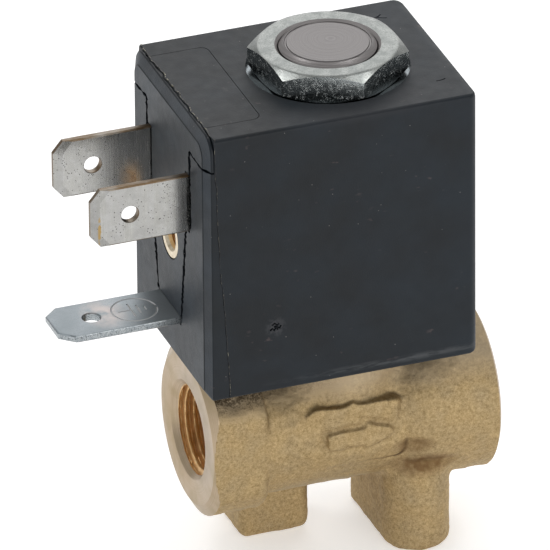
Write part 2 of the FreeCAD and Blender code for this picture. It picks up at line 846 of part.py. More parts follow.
def winding_lead(name, side):
    """Wire from a tab's root to the winding."""
    wire = doc.addObject("Part::Cylinder", name)
    wire.Label = name
    wire.Placement.Rotation = FreeCAD.Rotation(FreeCAD.Vector(0, 1, 0), 90)
    inner = "sqrt(winding_radius ^ 2 - (tab_spread / 2 - lead_radius) ^ 2) + core_gap"
    wire.setExpression("Radius", sized("lead_radius"))
    wire.setExpression("Height", sized(f"tab_root - {inner}"))
    wire.setExpression("Placement.Base.x", sized("-tab_root"))
    wire.setExpression("Placement.Base.y", sized(f"{side}tab_spread / 2"))
    wire.setExpression("Placement.Base.z", sized("tab_height"))
    return wire


def live_tab(name, side):
    """Flat tab on edge, with a bevelled tip and a hole for the socket's detent."""
    body = new_body(name)
    low = "tab_height - tab_width / 2"
    high = "tab_height + tab_width / 2"
    blade = new_sketch(body, "XZ", lift=f"{side}tab_spread / 2")
    draw_outline(blade, [
        ("-tab_root", low),
        ("-tab_root", high),
        ("tab_tip + tab_bevel_length", high),
        ("tab_tip", high + " - tab_bevel_width"),
        ("tab_tip", low + " + tab_bevel_width"),
        ("tab_tip + tab_bevel_length", low),
    ])
    draw_circle(blade, "tab_tip + tab_hole_place", "tab_height", "tab_hole_radius")
    pad(body, blade, "tab_thickness", both=True)
    return body


def earth_outline(gap):
    """Side view of the earth tab, bent down at its root to meet the yoke, grown by a gap."""
    return [
        (f"earth_tip - {gap}", f"earth_bottom - {gap}"),
        (f"-yoke_left - tab_thickness - {gap}", f"earth_bottom - {gap}"),
        (f"-yoke_left - tab_thickness - {gap}", f"yoke_bottom - {gap}"),
        ("-yoke_left", f"yoke_bottom - {gap}"),
        ("-yoke_left", f"earth_top + {gap}"),
        (f"earth_tip - {gap}", f"earth_top + {gap}"),
    ]


def earth_tab():
    body = new_body("earth_tab")
    side = new_sketch(body, "XZ")
    draw_outline(side, earth_outline("0"))
    pad(body, side, "tab_width", both=True)
    root = -value("yoke_left")
    top = value("earth_top")
    fillet(body, edges_inside(body, x=(root, root), z=(top, top)), "earth_bend")
    tip = new_sketch(body, "XY", lift="earth_top + 1")
    for way in ("-", ""):
        draw_outline(tip, [
            ("earth_tip", f"{way}tab_width / 2"),
            ("earth_tip", f"{way}(tab_width / 2 - earth_bevel_width)"),
            ("earth_tip + earth_bevel_length", f"{way}tab_width / 2"),
        ])
    draw_circle(tip, "earth_tip + earth_hole_place", "0", "tab_hole_radius")
    pocket(body, tip, "2 + tab_thickness")
    return body


def connector_screw_insert():
    """Tapped brass insert with a holding groove round its middle."""
    body = new_body("connector_screw_insert")
    half = new_sketch(body, "XZ", y="insert_height")
    back = "(insert_front + insert_length)"
    middle = "(insert_front + insert_length / 2)"
    draw_outline(half, [
        ("insert_front", "insert_bore_radius + insert_mouth"),
        ("insert_front", "insert_radius"),
        (f"{middle} - insert_groove_length / 2", "insert_radius"),
        (f"{middle} - insert_groove_length / 2", "insert_radius - insert_groove_depth"),
        (f"{middle} + insert_groove_length / 2", "insert_radius - insert_groove_depth"),
        (f"{middle} + insert_groove_length / 2", "insert_radius"),
        (back, "insert_radius"),
        (back, "insert_bore_radius"),
        ("insert_front + insert_mouth", "insert_bore_radius"),
    ])
    turn(body, half, "H_Axis")
    return body


PARTS = [
    valve_body(),
    tube_gland(),
    tube_o_ring(),
    guide_tube(),
    fixed_core(),
    shading_ring(),
    retaining_nut(),
    plunger(),
    seat_seal(),
    plunger_spring(),
    coil_overmould(),
    terminal_block(),
    bobbin(),
    coil_winding(),
    winding_tape(),
    yoke_frame(),
    live_tab("live_tab_rear", "-"),
    live_tab("live_tab_front", ""),
    earth_tab(),
    connector_screw_insert(),
    winding_lead("winding_lead_rear", ""),
    winding_lead("winding_lead_front", "-"),
]
doc.recompute()

for item in doc.Objects:
    if "Invalid" in item.State or "Error" in item.State:
        raise RuntimeError(f"{item.Label} failed: {item.State}")
    if item.TypeId in ("PartDesign::Pocket", "PartDesign::Groove"):
        if item.BaseFeature.Shape.Volume - item.Shape.Volume < 0.001:
            raise RuntimeError(f"{item.Label} cuts nothing")

os.makedirs("parts", exist_ok=True)
for part in PARTS:
    if part.Shape.isNull() or not part.Shape.isValid():
        raise RuntimeError(f"{part.Label} has no valid shape")
    if len(part.Shape.Solids) != 1:
        raise RuntimeError(f"{part.Label} has {len(part.Shape.Solids)} solids")
    part.Shape.exportStep(f"parts/{part.Label}.step")
    print(part.Label, round(part.Shape.Volume, 2))
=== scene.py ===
import math

import bmesh
import bpy
import numpy as np
from mathutils import Matrix, Vector


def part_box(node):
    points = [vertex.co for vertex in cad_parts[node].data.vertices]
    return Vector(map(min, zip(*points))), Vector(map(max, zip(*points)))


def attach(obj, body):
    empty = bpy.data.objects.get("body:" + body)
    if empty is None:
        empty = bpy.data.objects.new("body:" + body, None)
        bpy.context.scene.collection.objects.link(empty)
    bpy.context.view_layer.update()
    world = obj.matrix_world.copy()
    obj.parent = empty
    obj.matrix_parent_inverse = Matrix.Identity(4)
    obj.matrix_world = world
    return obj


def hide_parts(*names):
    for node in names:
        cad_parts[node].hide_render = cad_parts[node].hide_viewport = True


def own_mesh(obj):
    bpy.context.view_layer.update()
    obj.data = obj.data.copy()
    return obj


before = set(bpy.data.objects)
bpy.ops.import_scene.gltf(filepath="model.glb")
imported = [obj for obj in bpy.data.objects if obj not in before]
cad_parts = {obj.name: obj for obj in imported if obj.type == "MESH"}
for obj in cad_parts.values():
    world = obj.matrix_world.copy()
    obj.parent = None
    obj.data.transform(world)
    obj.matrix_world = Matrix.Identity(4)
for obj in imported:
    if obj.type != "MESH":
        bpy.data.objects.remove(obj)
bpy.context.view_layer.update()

MM = 0.001


# Places from the CAD nodes in model.glb. All lengths in this file are in mm, and meshes are scaled as they
# are finished.

class Box:
    """The box of one or more CAD nodes at rest, in mm."""

    def __init__(self, *names):
        corners = [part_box(name) for name in names]
        low = [min(pair[0][axis] for pair in corners) / MM for axis in range(3)]
        high = [max(pair[1][axis] for pair in corners) / MM for axis in range(3)]
        self.left, self.front, self.bottom = low
        self.right, self.back, self.top = high
        self.middle = [(a + b) / 2 for a, b in zip(low, high)]


BODY = Box("valve_body")
CASE = Box("coil_overmould", "terminal_block")
YOKE = Box("yoke_frame")
NUT = Box("retaining_nut")
CORE = Box("fixed_core")
O_RING = Box("tube_o_ring")
REAR_TAB = Box("live_tab_rear")
FRONT_TAB = Box("live_tab_front")
EARTH_TAB = Box("earth_tab")
INSERT = Box("connector_screw_insert")
FLANGE = Box("bobbin")
SPRING = Box("plunger_spring")
TUBE = Box("guide_tube")

# The live tabs are pressed in a little low
for tab in (REAR_TAB, FRONT_TAB):
    tab.bottom -= 0.15
    tab.top -= 0.15
    tab.middle[2] -= 0.15

# Forged body. Places on the panel are (along X, height above the ports).
BOSS_RADIUS = 8.9
BARREL_RADIUS = 7.7
NECK_RADIUS = 7.4
FLAT_REACH = 7.75
PORT_HEIGHT = BODY.top - BOSS_RADIUS
INLET_SHOULDER = BODY.left + 5.9
OUTLET_SHOULDER = BODY.right - 11.7
FACE_RADIUS = {-1: 7.75, 1: 8.4}
FACE_BEVEL = math.radians(30)
INLET_FOOT = ((-9.3, 1.0, 0), (-1.85, 7.7, PORT_HEIGHT), 0.95)
OUTLET_FOOT_PLACE = 7.45
OUTLET_FOOT_REACH = 4.2
OUTLET_FOOT_RADIUS = 3.5
PANEL_FACE = 8.0
PANEL_LOW, PANEL_HIGH = (-5.2, -3.1), (5.2, 3.95)
PANEL_CORNER = 1.4
ARROW_FACE = 8.33
ARROW_SHAFT = ((-3.2, -0.65), (1.5, 1.2), 0.5)
ARROW_MIDDLE = 0.4
HEAD_START, HEAD_END = 0.8, 3.85
HEAD_REACH, HEAD_SLOPE = 1.5, 0.37
CAST_STEP = 0.16

# Folds in the forging above the outlet foot: place along X, height above the ports, reach, depth
CREASES = ((6.3, -1.7, 1.6, 0.35), (7.6, -4.3, 2.3, 0.5))

# Bore under the coil: seat, chamber and riser
CHAMBER_RADIUS = 4.7
SEAT_PLACE = BODY.top - 4.3
SEAT_RADIUS = 1.95
ORIFICE_RADIUS = 1.25
RISER_RADIUS = 1.1
RISER_PLACE = -3.4

# Ports: G 1/8 threads and the drillings behind them
PORT_MINOR = 4.283
PORT_MAJOR = 4.864
PORT_PITCH = 0.907
PORT_DEPTH = 8.0
PORT_MOUTH = 5.2
INLET_DRILL = 2.4
OUTLET_DRILL = 2.0
DRILL_POINT = math.radians(31)

# Case
SEAM_PLACE = CASE.left + 0.85
BAND_DROP = 3.5
BLOCK_DEPTH = 6.95
BLOCK_REACH = 8.05
BLOCK_CORNER = 0.9
COLUMN_REACH = 6.15
RECESS_RADIUS = 8.2
PIT_PLACE = (CASE.left + 7.2, CASE.bottom + 7.2)
LEAD_RADIUS = 0.29

# Nut and stud
NUT_FLAT = 7.0
STUD_RADIUS = 4.9

# Studio
CAMERA_AZIMUTH = math.radians(-19.968)
CAMERA_ELEVATION = math.radians(28.823)
CAMERA_ROLL = math.radians(0.468)
CAMERA_AWAY, CAMERA_ASIDE, CAMERA_BELOW = 1401.897, 5.2445, 20.797
CAMERA_LENS = 926.125
FLOOR_LIFT = 0.43


# Meshes

def from_faces(name, points, faces):
    mesh = bpy.data.meshes.new(name)
    mesh.from_pydata([tuple(point) for point in points], [], faces)
    mesh.validate()
    piece = bpy.data.objects.new(name, mesh)
    bpy.context.scene.collection.objects.link(piece)
    return piece


def bake(piece):
    """Apply the modifiers of a piece."""
    graph = bpy.context.evaluated_depsgraph_get()
    mesh = bpy.data.meshes.new_from_object(piece.evaluated_get(graph))
    piece.modifiers.clear()
    old = piece.data
    piece.data = mesh
    bpy.data.meshes.remove(old)
    return piece


def combine(piece, tool, how="DIFFERENCE"):
    """Cut, join or keep the overlap of a piece and a tool, and use the tool up."""
    change = piece.modifiers.new("combine", "BOOLEAN")
    change.operation = how
    change.solver = "MANIFOLD"
    change.object = tool
    bake(piece)
    mesh = tool.data
    bpy.data.objects.remove(tool)
    bpy.data.meshes.remove(mesh)
    return piece


def faced_out(piece):
    """Turn all faces of a closed mesh outwards."""
    build = bmesh.new()
    build.from_mesh(piece.data)
    bmesh.ops.recalc_face_normals(build, faces=build.faces)
    build.to_mesh(piece.data)
    build.free()
    return piece


def stacked(name, rings):
    """A closed solid through rings of equal length, with flat ends."""
    count = len(rings[0])
    points = [point for ring in rings for point in ring]
    faces = [tuple(range(count))]
    for level in range(len(rings) - 1):
        base = level * count
        for index in range(count):
            after = (index + 1) % count
            faces.append((base + index, base + after, base + count + after, base + count + index))
    faces.append(tuple(range(len(points) - count, len(points))))
    return faced_out(from_faces(name, points, faces))


AXES = {
    "x": lambda a, b, along: (along, a, b),
    "y": lambda a, b, along: (a, along, b),
    "z": lambda a, b, along: (a, b, along),
}


def layered(name, outlines, axis):
    """A solid through outlines of (a, b) pairs, each given as (place along the axis, outline)."""
    place = AXES[axis]
    return stacked(name, [[place(a, b, along) for a, b in outline] for along, outline in outlines])


def prism(name, outline, low, high, axis):
    return layered(name, [(low, outline), (high, outline)], axis)


def lathe(name, profile, axis="z", centre=(0, 0), steps=96):
    """A solid turned from (radius, place along the axis) pairs, which start and end on the axis."""
    place = AXES[axis]
    inner = profile[1:-1]
    points = [place(*centre, profile[0][1])]
    for radius, along in inner:
        for step in range(steps):
            angle = 2 * math.pi * step / steps
            points.append(place(centre[0] + radius * math.cos(angle),
                                centre[1] + radius * math.sin(angle), along))
    points.append(place(*centre, profile[-1][1]))
    faces = []
    for step in range(steps):
        after = (step + 1) % steps
        faces.append((0, 1 + step, 1 + after))
        for level in range(len(inner) - 1):
            base = 1 + level * steps
            faces.append((base + step, base + steps + step, base + steps + after, base + after))
        base = 1 + (len(inner) - 1) * steps
        faces.append((base + step, len(points) - 1, base + after))
    return faced_out(from_faces(name, points, faces))


def rod(radius, low, high, axis="z", centre=(0, 0), steps=96):
    """A plain cylinder between two places along its axis, as a tool."""
    return lathe("rod", [(0, low), (radius, low), (radius, high), (0, high)], axis, centre, steps)


def quarter(steps):
    """The sine and the cosine at even steps over a quarter turn."""
    angles = [math.radians(90 * step / steps) for step in range(steps + 1)]
    return [(math.sin(angle), math.cos(angle)) for angle in angles]


def evenly(start, length, spacing):
    """Places from a start on, at even spacing over a length."""
    return [start + step * spacing for step in range(int(length / spacing))]


def threaded(name, rows, crest, root, pitch, axis, centre=(0, 0), steps=120, start=0.0):
    """A tool that cuts a tapped hole, whose thread starts a part of a turn round. Each row is (place
    along the axis, least radius there), which opens the mouth of the hole."""
    place = AXES[axis]
    rings = []
    for along, least in rows:
        ring = []
        for step in range(steps):
            turn = step / steps
            wave = 0.5 + 0.62 * math.cos(2 * math.pi * (along / pitch - turn + start))
            radius = max(root + (crest - root) * min(max(wave, 0), 1), least)
            angle = 2 * math.pi * turn
            ring.append(place(centre[0] + radius * math.cos(angle),
                              centre[1] + radius * math.sin(angle), along))
        rings.append(ring)
    return stacked(name, rings)


def rounded(corners, steps=6):
    """An outline with its corners, each (a, b, radius), rounded off."""
    outline = []
    count = len(corners)
    for index, (a, b, radius) in enumerate(corners):
        corner = Vector((a, b))
        before = (Vector(corners[index - 1][:2]) - corner).normalized()
        after = (Vector(corners[(index + 1) % count][:2]) - corner).normalized()
        half = before.angle(after) / 2
        reach = radius / math.tan(half)
        middle = corner + (before + after).normalized() * (radius / math.sin(half))
        start = corner + before * reach - middle
        end = corner + after * reach - middle
        sweep = start.angle_signed(end)
        for step in range(steps + 1):
            arm = start.copy()
            arm.rotate(Matrix.Rotation(-sweep * step / steps, 2))
            outline.append(tuple(middle + arm))
    return outline


def ragged(points, rng, spacing=0.3, amount=0.03):
    """A path of (a, b) points cut into short runs that wander a little, as a moulded line does."""
    path = [np.array(points[0], float)]
    for start, end in zip(points, points[1:]):
        start, end = np.array(start, float), np.array(end, float)
        run = end - start
        length = np.linalg.norm(run)
        side = np.array((-run[1], run[0])) / max(length, 1e-6)
        count = max(int(length / spacing), 1)
        for step in range(1, count):
            path.append(start + run * step / count + side * rng.normal(0, amount))
        path.append(end)
    return path


def groove_tool(name, path, normals, width, depth, rng=None):
    """A V-shaped strip along a path on a surface, for cutting a groove. The width may be a list."""
    path = [Vector(point) for point in path]
    normals = [Vector(normal).normalized() for normal in normals]
    rings = []
    for index, (point, normal) in enumerate(zip(path, normals)):
        ahead = path[min(index + 1, len(path) - 1)] - path[max(index - 1, 0)]
        side = ahead.cross(normal).normalized()
        half = (width[index] if isinstance(width, list) else width) / 2
        deep = depth * (1 if rng is None else rng.uniform(0.6, 1.3))
        lift = normal * 0.4
        rings.append([point + lift - side * half * 1.6, point + lift + side * half * 1.6,
                      point + side * half, point - normal * deep + side * half * 0.15,
                      point - normal * deep - side * half * 0.15, point - side * half])
    return stacked(name, rings)


# Cast shapes, as distance fields sampled on a grid and meshed where they cross zero

def blend(one, other, reach):
    """The union of two fields, with a fillet where they meet."""
    part = np.clip(0.5 + 0.5 * (other - one) / reach, 0, 1)
    return other + (one - other) * part - reach * part * (1 - part)


def within(one, other, reach):
    """The overlap of two fields, with its edge rounded off."""
    return -blend(-one, -other, reach)


def rounded_box(places, low, high, radius):
    """The field of a box with rounded edges."""
    outside = 0
    deepest = -np.inf
    for place, a, b in zip(places, low, high):
        gap = np.abs(place - (a + b) / 2) - (b - a) / 2 + radius
        outside = outside + np.maximum(gap, 0) ** 2
        deepest = np.maximum(deepest, gap)
    return np.sqrt(outside) + np.minimum(deepest, 0) - radius


def lattice_noise(shape, step, grain, rng):
    """Smooth noise with lumps of the size of the grain."""
    field = rng.standard_normal([int(count * step / grain) + 2 for count in shape]).astype(np.float32)
    for axis, count in enumerate(shape):
        places = np.arange(count) * step / grain
        low = places.astype(int)
        part = places - low
        part = part * part * (3 - 2 * part)
        spread = [1, 1, 1]
        spread[axis] = count
        part = part.reshape(spread).astype(np.float32)
        field = np.take(field, low, axis) * (1 - part) + np.take(field, low + 1, axis) * part
    return field


def window(starts, sizes):
    return tuple(slice(start, start + size) for start, size in zip(starts, sizes))


def surface_net(name, field, origin, step):
    """A mesh of the zero level of a field, with one vertex in each cell that it crosses."""
    cells = [count - 1 for count in field.shape]
    hits = np.zeros(cells, np.float32)
    places = np.zeros(cells + [3], np.float32)
    crossings = []
    for axis in range(3):
        lower = field[window([0, 0, 0], [n - (i == axis) for i, n in enumerate(field.shape)])]
        upper = field[window([int(i == axis) for i in range(3)],
                             [n - (i == axis) for i, n in enumerate(field.shape)])]
        crossed = (lower < 0) != (upper < 0)
        part = np.where(crossed, lower / np.where(crossed, lower - upper, 1), 0)
        crossings.append((crossed, lower < 0))
        one, two = (axis + 1) % 3, (axis + 2) % 3
        for a in (0, 1):
            for b in (0, 1):
                start = [0, 0, 0]
                start[one], start[two] = a, b
                here = window(start, cells)
                hits += crossed[here]
                places[..., axis] += part[here]
                places[..., one] += a * crossed[here]
                places[..., two] += b * crossed[here]
    used = hits > 0
    number = np.full(cells, -1)
    number[used] = np.arange(used.sum())
    corners = np.argwhere(used)
    points = (corners + places[used] / hits[used][:, None]) * step + np.array(origin)
    faces = []
    for axis, (crossed, inside) in enumerate(crossings):
        one, two = (axis + 1) % 3, (axis + 2) % 3
        edges = np.argwhere(crossed)
        edges = edges[(edges[:, one] > 0) & (edges[:, two] > 0)
                      & (edges[:, one] < cells[one]) & (edges[:, two] < cells[two])]
        ring = []
        for a, b in ((1, 1), (0, 1), (0, 0), (1, 0)):
            cell = edges.copy()
            cell[:, one] -= a
            cell[:, two] -= b
            ring.append(number[tuple(cell.T)])
        quads = np.stack(ring, 1)
        flip = ~inside[tuple(edges.T)]
        quads[flip] = quads[flip][:, ::-1]
        faces.append(quads)
    return from_faces(name, points.tolist(), np.concatenate(faces).tolist())


def casting():
    """The rough forging: barrel, bosses, neck, panel with its arrow, and feet."""
    rng = np.random.default_rng(11)
    low = np.array((BODY.left - 1.0, BODY.front - 0.8, BODY.bottom - 0.6))
    high = np.array((BODY.right + 1.0, BODY.back + 0.8, BODY.top + 1.0))
    counts = ((high - low) / CAST_STEP).astype(int)
    x, y, z = np.meshgrid(*[low[i] + CAST_STEP * np.arange(counts[i], dtype=np.float32)
                            for i in range(3)], indexing="ij", sparse=True)
    up = z - PORT_HEIGHT
    round_port = np.hypot(y, up)
    barrel = round_port - BARREL_RADIUS + 0 * x
    inlet = within(round_port - BOSS_RADIUS, np.abs(y) - FLAT_REACH, 0.5)
    inlet = within(inlet, x - INLET_SHOULDER, 0.7)
    rise = np.clip((x - OUTLET_SHOULDER) / 5.0, 0, 1)
    barrel = barrel - (BOSS_RADIUS - BARREL_RADIUS) * rise * rise * (3 - 2 * rise)
    neck = within(np.hypot(x, y) - NECK_RADIUS, -up, 0.1)
    field = blend(barrel, inlet, 0.5)
    field = blend(field, neck, 1.2)

    inlet_foot = rounded_box((x, y, z), *INLET_FOOT)
    oblong = np.hypot(x - OUTLET_FOOT_PLACE, np.maximum(np.abs(y) - OUTLET_FOOT_REACH, 0))
    outlet_foot = within(within(oblong - OUTLET_FOOT_RADIUS, -z, 0.9), up, 0.1)
    for foot in (inlet_foot, outlet_foot):
        field = blend(field, foot, 0.7)

    fade = 0.7 * np.clip((-2.6 - x) / 2.2, 0, 1)
    panel_face = PANEL_FACE - fade
    nub = 0.3 * np.exp(-((x + 0.4) / 0.45) ** 2) * (up > 2)
    panel = rounded_box((x, up - nub), PANEL_LOW, PANEL_HIGH, PANEL_CORNER)
    panel = panel + 0.06 * lattice_noise(field.shape, CAST_STEP, 0.9, rng)
    corner = np.clip((x - 1.5) / 2.5, 0, 1) * np.clip((-0.4 - up) / 1.5, 0, 1) * (y < -5)
    field = field + 0.15 * corner * np.exp(-((panel - 0.15) / 0.2) ** 2)
    sink = 0.8 * np.clip((x - 4.2) / 1.1, 0, 1) * np.clip((up + 0.5) / 3.0, 0, 1)
    sink = sink + 0.8 * np.clip((-0.8 - up) / 2.3, 0, 1) ** 2
    panel = within(panel, -y - panel_face + sink, 0.3)
    panel = within(panel, y + 4, 0.1)
    field = blend(field, panel, 0.3)

    shaft = rounded_box((x, up), *ARROW_SHAFT)
    sides = np.abs(up - ARROW_MIDDLE) - HEAD_REACH + (x - HEAD_START) * HEAD_SLOPE
    head = within(sides / math.hypot(1, HEAD_SLOPE), HEAD_START - x, 0.4)
    head = within(head, x - HEAD_END, 0.8)
    arrow = blend(shaft, head, 0.5) + 0.07 * lattice_noise(field.shape, CAST_STEP, 0.7, rng)
    trench = np.exp(-((arrow - 0.3) / 0.26) ** 2) * (y < -6)
    arrow = within(arrow, -y - ARROW_FACE, 0.3)
    arrow = within(arrow, y + 6, 0.1)
    field = blend(field + 0.13 * trench, arrow, 0.2)
    for across, height, reach, drop in CREASES:
        hollow = np.exp(-((x - across) / reach) ** 2 - ((up - height) / 0.65) ** 2)
        field = field + drop * hollow * (y < -5)

    ends = np.abs(x) - (BODY.right + 0.6)
    field = np.maximum(np.maximum(field, ends), z - (BODY.top + 0.6))
    field = field + 0.03 * lattice_noise(field.shape, CAST_STEP, 1.1, rng)
    field = field + 0.022 * lattice_noise(field.shape, CAST_STEP, 0.4, rng)
    field = np.maximum(field, BODY.bottom + 0.01 - z)
    return surface_net("brass_body", field, low, CAST_STEP)


def port_tool(way, drill_radius, drill_end):
    """Tapped hole with its countersunk mouth and the smaller drill that leads on from it."""
    face = BODY.right
    rows = [(way * (face - deep), PORT_MOUTH - deep) for deep in evenly(-0.6, PORT_DEPTH + 0.6, 0.045)]
    thread = threaded("port", rows, PORT_MAJOR, PORT_MINOR, PORT_PITCH, "x", (0, PORT_HEIGHT), start=0.71)
    shoulder = face - PORT_DEPTH
    narrow = shoulder - (PORT_MINOR - drill_radius) * math.tan(DRILL_POINT)
    drill = lathe("drill", [(0, way * (shoulder + 1)), (PORT_MINOR, way * (shoulder + 1)),
                            (PORT_MINOR, way * shoulder), (drill_radius, way * narrow),
                            (drill_radius, way * drill_end),
                            (0, way * (drill_end - drill_radius * math.tan(DRILL_POINT)))],
                  "x", (0, PORT_HEIGHT))
    return combine(thread, drill, "UNION")


def brass_body():
    body = casting()
    end = BODY.right
    reach = 3.2
    slope = reach * math.tan(FACE_BEVEL)
    inlet, outlet = FACE_RADIUS[-1], FACE_RADIUS[1]
    turned = lathe("turned_faces", [
        (0, -end), (inlet, -end), (inlet + reach, -end + slope), (20, -end + slope + 1),
        (20, end - slope - 1), (outlet + reach, end - slope), (outlet, end), (0, end),
    ], "x", (0, PORT_HEIGHT), 720)
    combine(body, turned, "INTERSECT")
    bore = O_RING.back + 0.05
    chamber = lathe("chamber", [
        (0, BODY.top + 3), (14, BODY.top + 3), (14, BODY.top), (bore, BODY.top), (bore, O_RING.bottom),
        (CHAMBER_RADIUS, O_RING.bottom), (CHAMBER_RADIUS, SEAT_PLACE - 1.7), (2.2, SEAT_PLACE - 1.7),
        (2.2, SEAT_PLACE - 0.5), (SEAT_RADIUS, SEAT_PLACE), (ORIFICE_RADIUS, SEAT_PLACE),
        (ORIFICE_RADIUS, PORT_HEIGHT), (0, PORT_HEIGHT),
    ])
    combine(body, chamber)
    combine(body, rod(RISER_RADIUS, SEAT_PLACE - 1, PORT_HEIGHT, "z", (RISER_PLACE, 0), 32))
    combine(body, port_tool(-1, INLET_DRILL, 3.6))
    combine(body, port_tool(1, OUTLET_DRILL, -0.2))
    return body


# Case of the coil

def case_block(name):
    """The outside of the moulding: rounded sections that follow each other along X."""
    width = CASE.back
    sections = [
        (CASE.left, width - 1.2, CASE.bottom + 0.75, CASE.top - 1.15, 1.4),
        (CASE.left + 0.08, width - 1.08, CASE.bottom + 0.65, CASE.top - 1.03, 1.5),
        (CASE.left + 0.53, width - 0.09, CASE.bottom + 0.07, CASE.top - 0.09, 1.9),
        (CASE.left + 0.66, width, CASE.bottom, CASE.top, 1.9),
        (SEAM_PLACE - 0.02, width, CASE.bottom, CASE.top, 1.9),
        (SEAM_PLACE + 0.02, width, CASE.bottom, CASE.top, 0.4),
    ]
    radius = 1.0
    for sine, cosine in quarter(8):
        sections.append((CASE.right - radius + radius * sine, width - radius + radius * cosine,
                         CASE.bottom + 0.3 * (1 - cosine), CASE.top - 0.35 * (1 - cosine), 0.4))
    outlines = []
    for x, reach, low, high, corner in sections:
        corners = [(-reach, low, 0.3), (reach, low, 0.3), (reach, high, corner), (-reach, high, corner)]
        outlines.append((x, rounded(corners, 8)))
    return layered(name, outlines, "x")


def block_path(rng):
    """Half of the witness line on the left face, from the edge of the band to the earth tab."""
    band = CASE.top - BAND_DROP
    return ragged([(CASE.back + 1.5, band - 0.1), (CASE.back - 1.6, band),
                   (COLUMN_REACH + 0.9, band + 0.05), (COLUMN_REACH + 0.25, band + 0.25),
                   (COLUMN_REACH, band - 0.1), (COLUMN_REACH, REAR_TAB.bottom + 0.5),
                   (COLUMN_REACH - 1.2, REAR_TAB.bottom + 0.2), (3.3, EARTH_TAB.top + 0.05)], rng)


def grown(path, gap, rng):
    """A path moved sideways by about the given gap."""
    moved = []
    for index, point in enumerate(path):
        ahead = path[min(index + 1, len(path) - 1)] - path[max(index - 1, 0)]
        side = np.array((-ahead[1], ahead[0])) / np.linalg.norm(ahead)
        moved.append(tuple(point + side * gap * rng.uniform(0.5, 1.6) * np.array((3.2, 1.5))))
    return moved


def carrier_tools(gap):
    """Prisms that hold the terminal block: the band across the top of the left face with the
    column below it, and the deeper block behind them."""
    rng = np.random.default_rng(21)
    back = grown(block_path(rng), gap, rng)
    front = [(-y, z) for y, z in grown(block_path(rng), gap, rng)]
    above = CASE.top + 2
    low = CASE.top - BAND_DROP - 0.2
    band = [(CASE.back + 2, above)] + back + front[::-1] + [(-CASE.back - 2, above)]
    reach = BLOCK_REACH + gap / 3
    column = [(y, z) for y, z in back if y < COLUMN_REACH + 0.2 and z < low]
    other = [(y, z) for y, z in front if -y < COLUMN_REACH + 0.2 and z < low]
    block = [(reach, above), (reach, low)] + column + other[::-1] + [(-reach, low), (-reach, above)]
    end = CASE.left + BLOCK_DEPTH + gap / 3
    layers = [(SEAM_PLACE - 0.3, block)]
    for sine, cosine in quarter(6):
        limit = reach - BLOCK_CORNER * (1 - cosine)
        place = end - BLOCK_CORNER * (1 - sine)
        layers.append((place, [(min(max(y, -limit), limit), z) for y, z in block]))
    return [prism("band", band, CASE.left - 1, SEAM_PLACE + gap / 2, "x"), layered("block", layers, "x")]


def seam_path(rng):
    """Points and normals of the seam that runs up the front, over the top and down the back."""
    corner = 0.45
    drops = np.array((0, 3.6, 14.6, 20.5, 28.5, 31))
    shifts = np.array((0, 0.09, 0.53, 1.06, 1.40, 1.45))
    flat = [(CASE.front, CASE.top - drop, -1, 0)
            for drop in np.arange(CASE.top - CASE.bottom + 0.6, corner, -0.35)]
    flat += [(CASE.front + corner * (1 - cosine), CASE.top - corner * (1 - sine), -cosine, sine)
             for sine, cosine in quarter(4)[1:-1]]
    flat += [(place, CASE.top, 0, 1) for place in np.arange(CASE.front + corner, -0.1, 0.35)]
    flat += [(-y, z, -across, up) for y, z, across, up in reversed(flat)]
    path, normals = [], []
    wander = 0
    for y, z, across, up in flat:
        wander = 0.55 * wander + rng.normal(0, 0.03 + 0.02 * up)
        shift = np.interp(CASE.top - z, drops, shifts)
        path.append(Vector((SEAM_PLACE + shift + wander, y, z)))
        normals.append(Vector((0, across, up)))
    return path, normals


def seam_groove():
    rng = np.random.default_rng(31)
    path, normals = seam_path(rng)
    widths = [rng.uniform(0.14, 0.30) if normal.z > 0.3 else rng.uniform(0.005, 0.055)
              for normal in normals]
    return groove_tool("seam", path, normals, widths, 0.12, rng)


def mould_flash():
    """Thin torn rim of plastic along the far side of the seam, which comes and goes."""
    path, normals = seam_path(np.random.default_rng(31))
    rng = np.random.default_rng(32)
    rings = []
    for point, normal in zip(path, normals):
        if point.z < CASE.bottom + 0.4:
            continue
        top = 0.35 + 0.65 * max(normal.z, 0)
        height = max(rng.normal(0.03, 0.07), -0.01) * top
        start = point + Vector((0.03 + rng.uniform(0.07, 0.12) * top, 0, 0))
        width = Vector((rng.uniform(0.08, 0.24) * top, 0, 0))
        sunk = normal * -0.06
        rings.append([start + sunk, start + normal * height, start + width * 0.5 + normal * height * 0.8,
                      start + width + sunk])
    return stacked("mould_flash", rings)


def scratch_tools():
    """Short curved nicks in the top, and the pit that the gate left in the front."""
    rng = np.random.default_rng(41)
    tools = []
    for x, y, turn in ((9.35, -6.94, 0.2), (8.13, 7.83, 0.6), (8.5, 7.5, -0.5)):
        path = [(x + along, y + along * turn + 0.35 * along ** 2, CASE.top)
                for along in evenly(-0.51, 1.2, 0.17)]
        tools.append(groove_tool("nick", path, [(0, 0, 1)] * len(path), 0.15, 0.1, rng))
    marks = (((-0.62, -0.30), (-0.35, -0.12), (-0.2, -0.36), (0.0, -0.08), (0.2, -0.34)),
             ((-0.42, 0.22), (-0.12, 0.42), (0.1, 0.2), (0.36, 0.36)),
             ((0.12, -0.02), (0.4, -0.18), (0.52, 0.12)), ((-0.2, 0.0), (0.02, 0.1), (0.2, 0.0)))
    for mark in marks:
        path = [(PIT_PLACE[0] + a, CASE.front, PIT_PLACE[1] + b) for a, b in mark]
        tools.append(groove_tool("gate", path, [(0, -1, 0)] * len(mark), 0.22, 0.2, rng))
    return tools


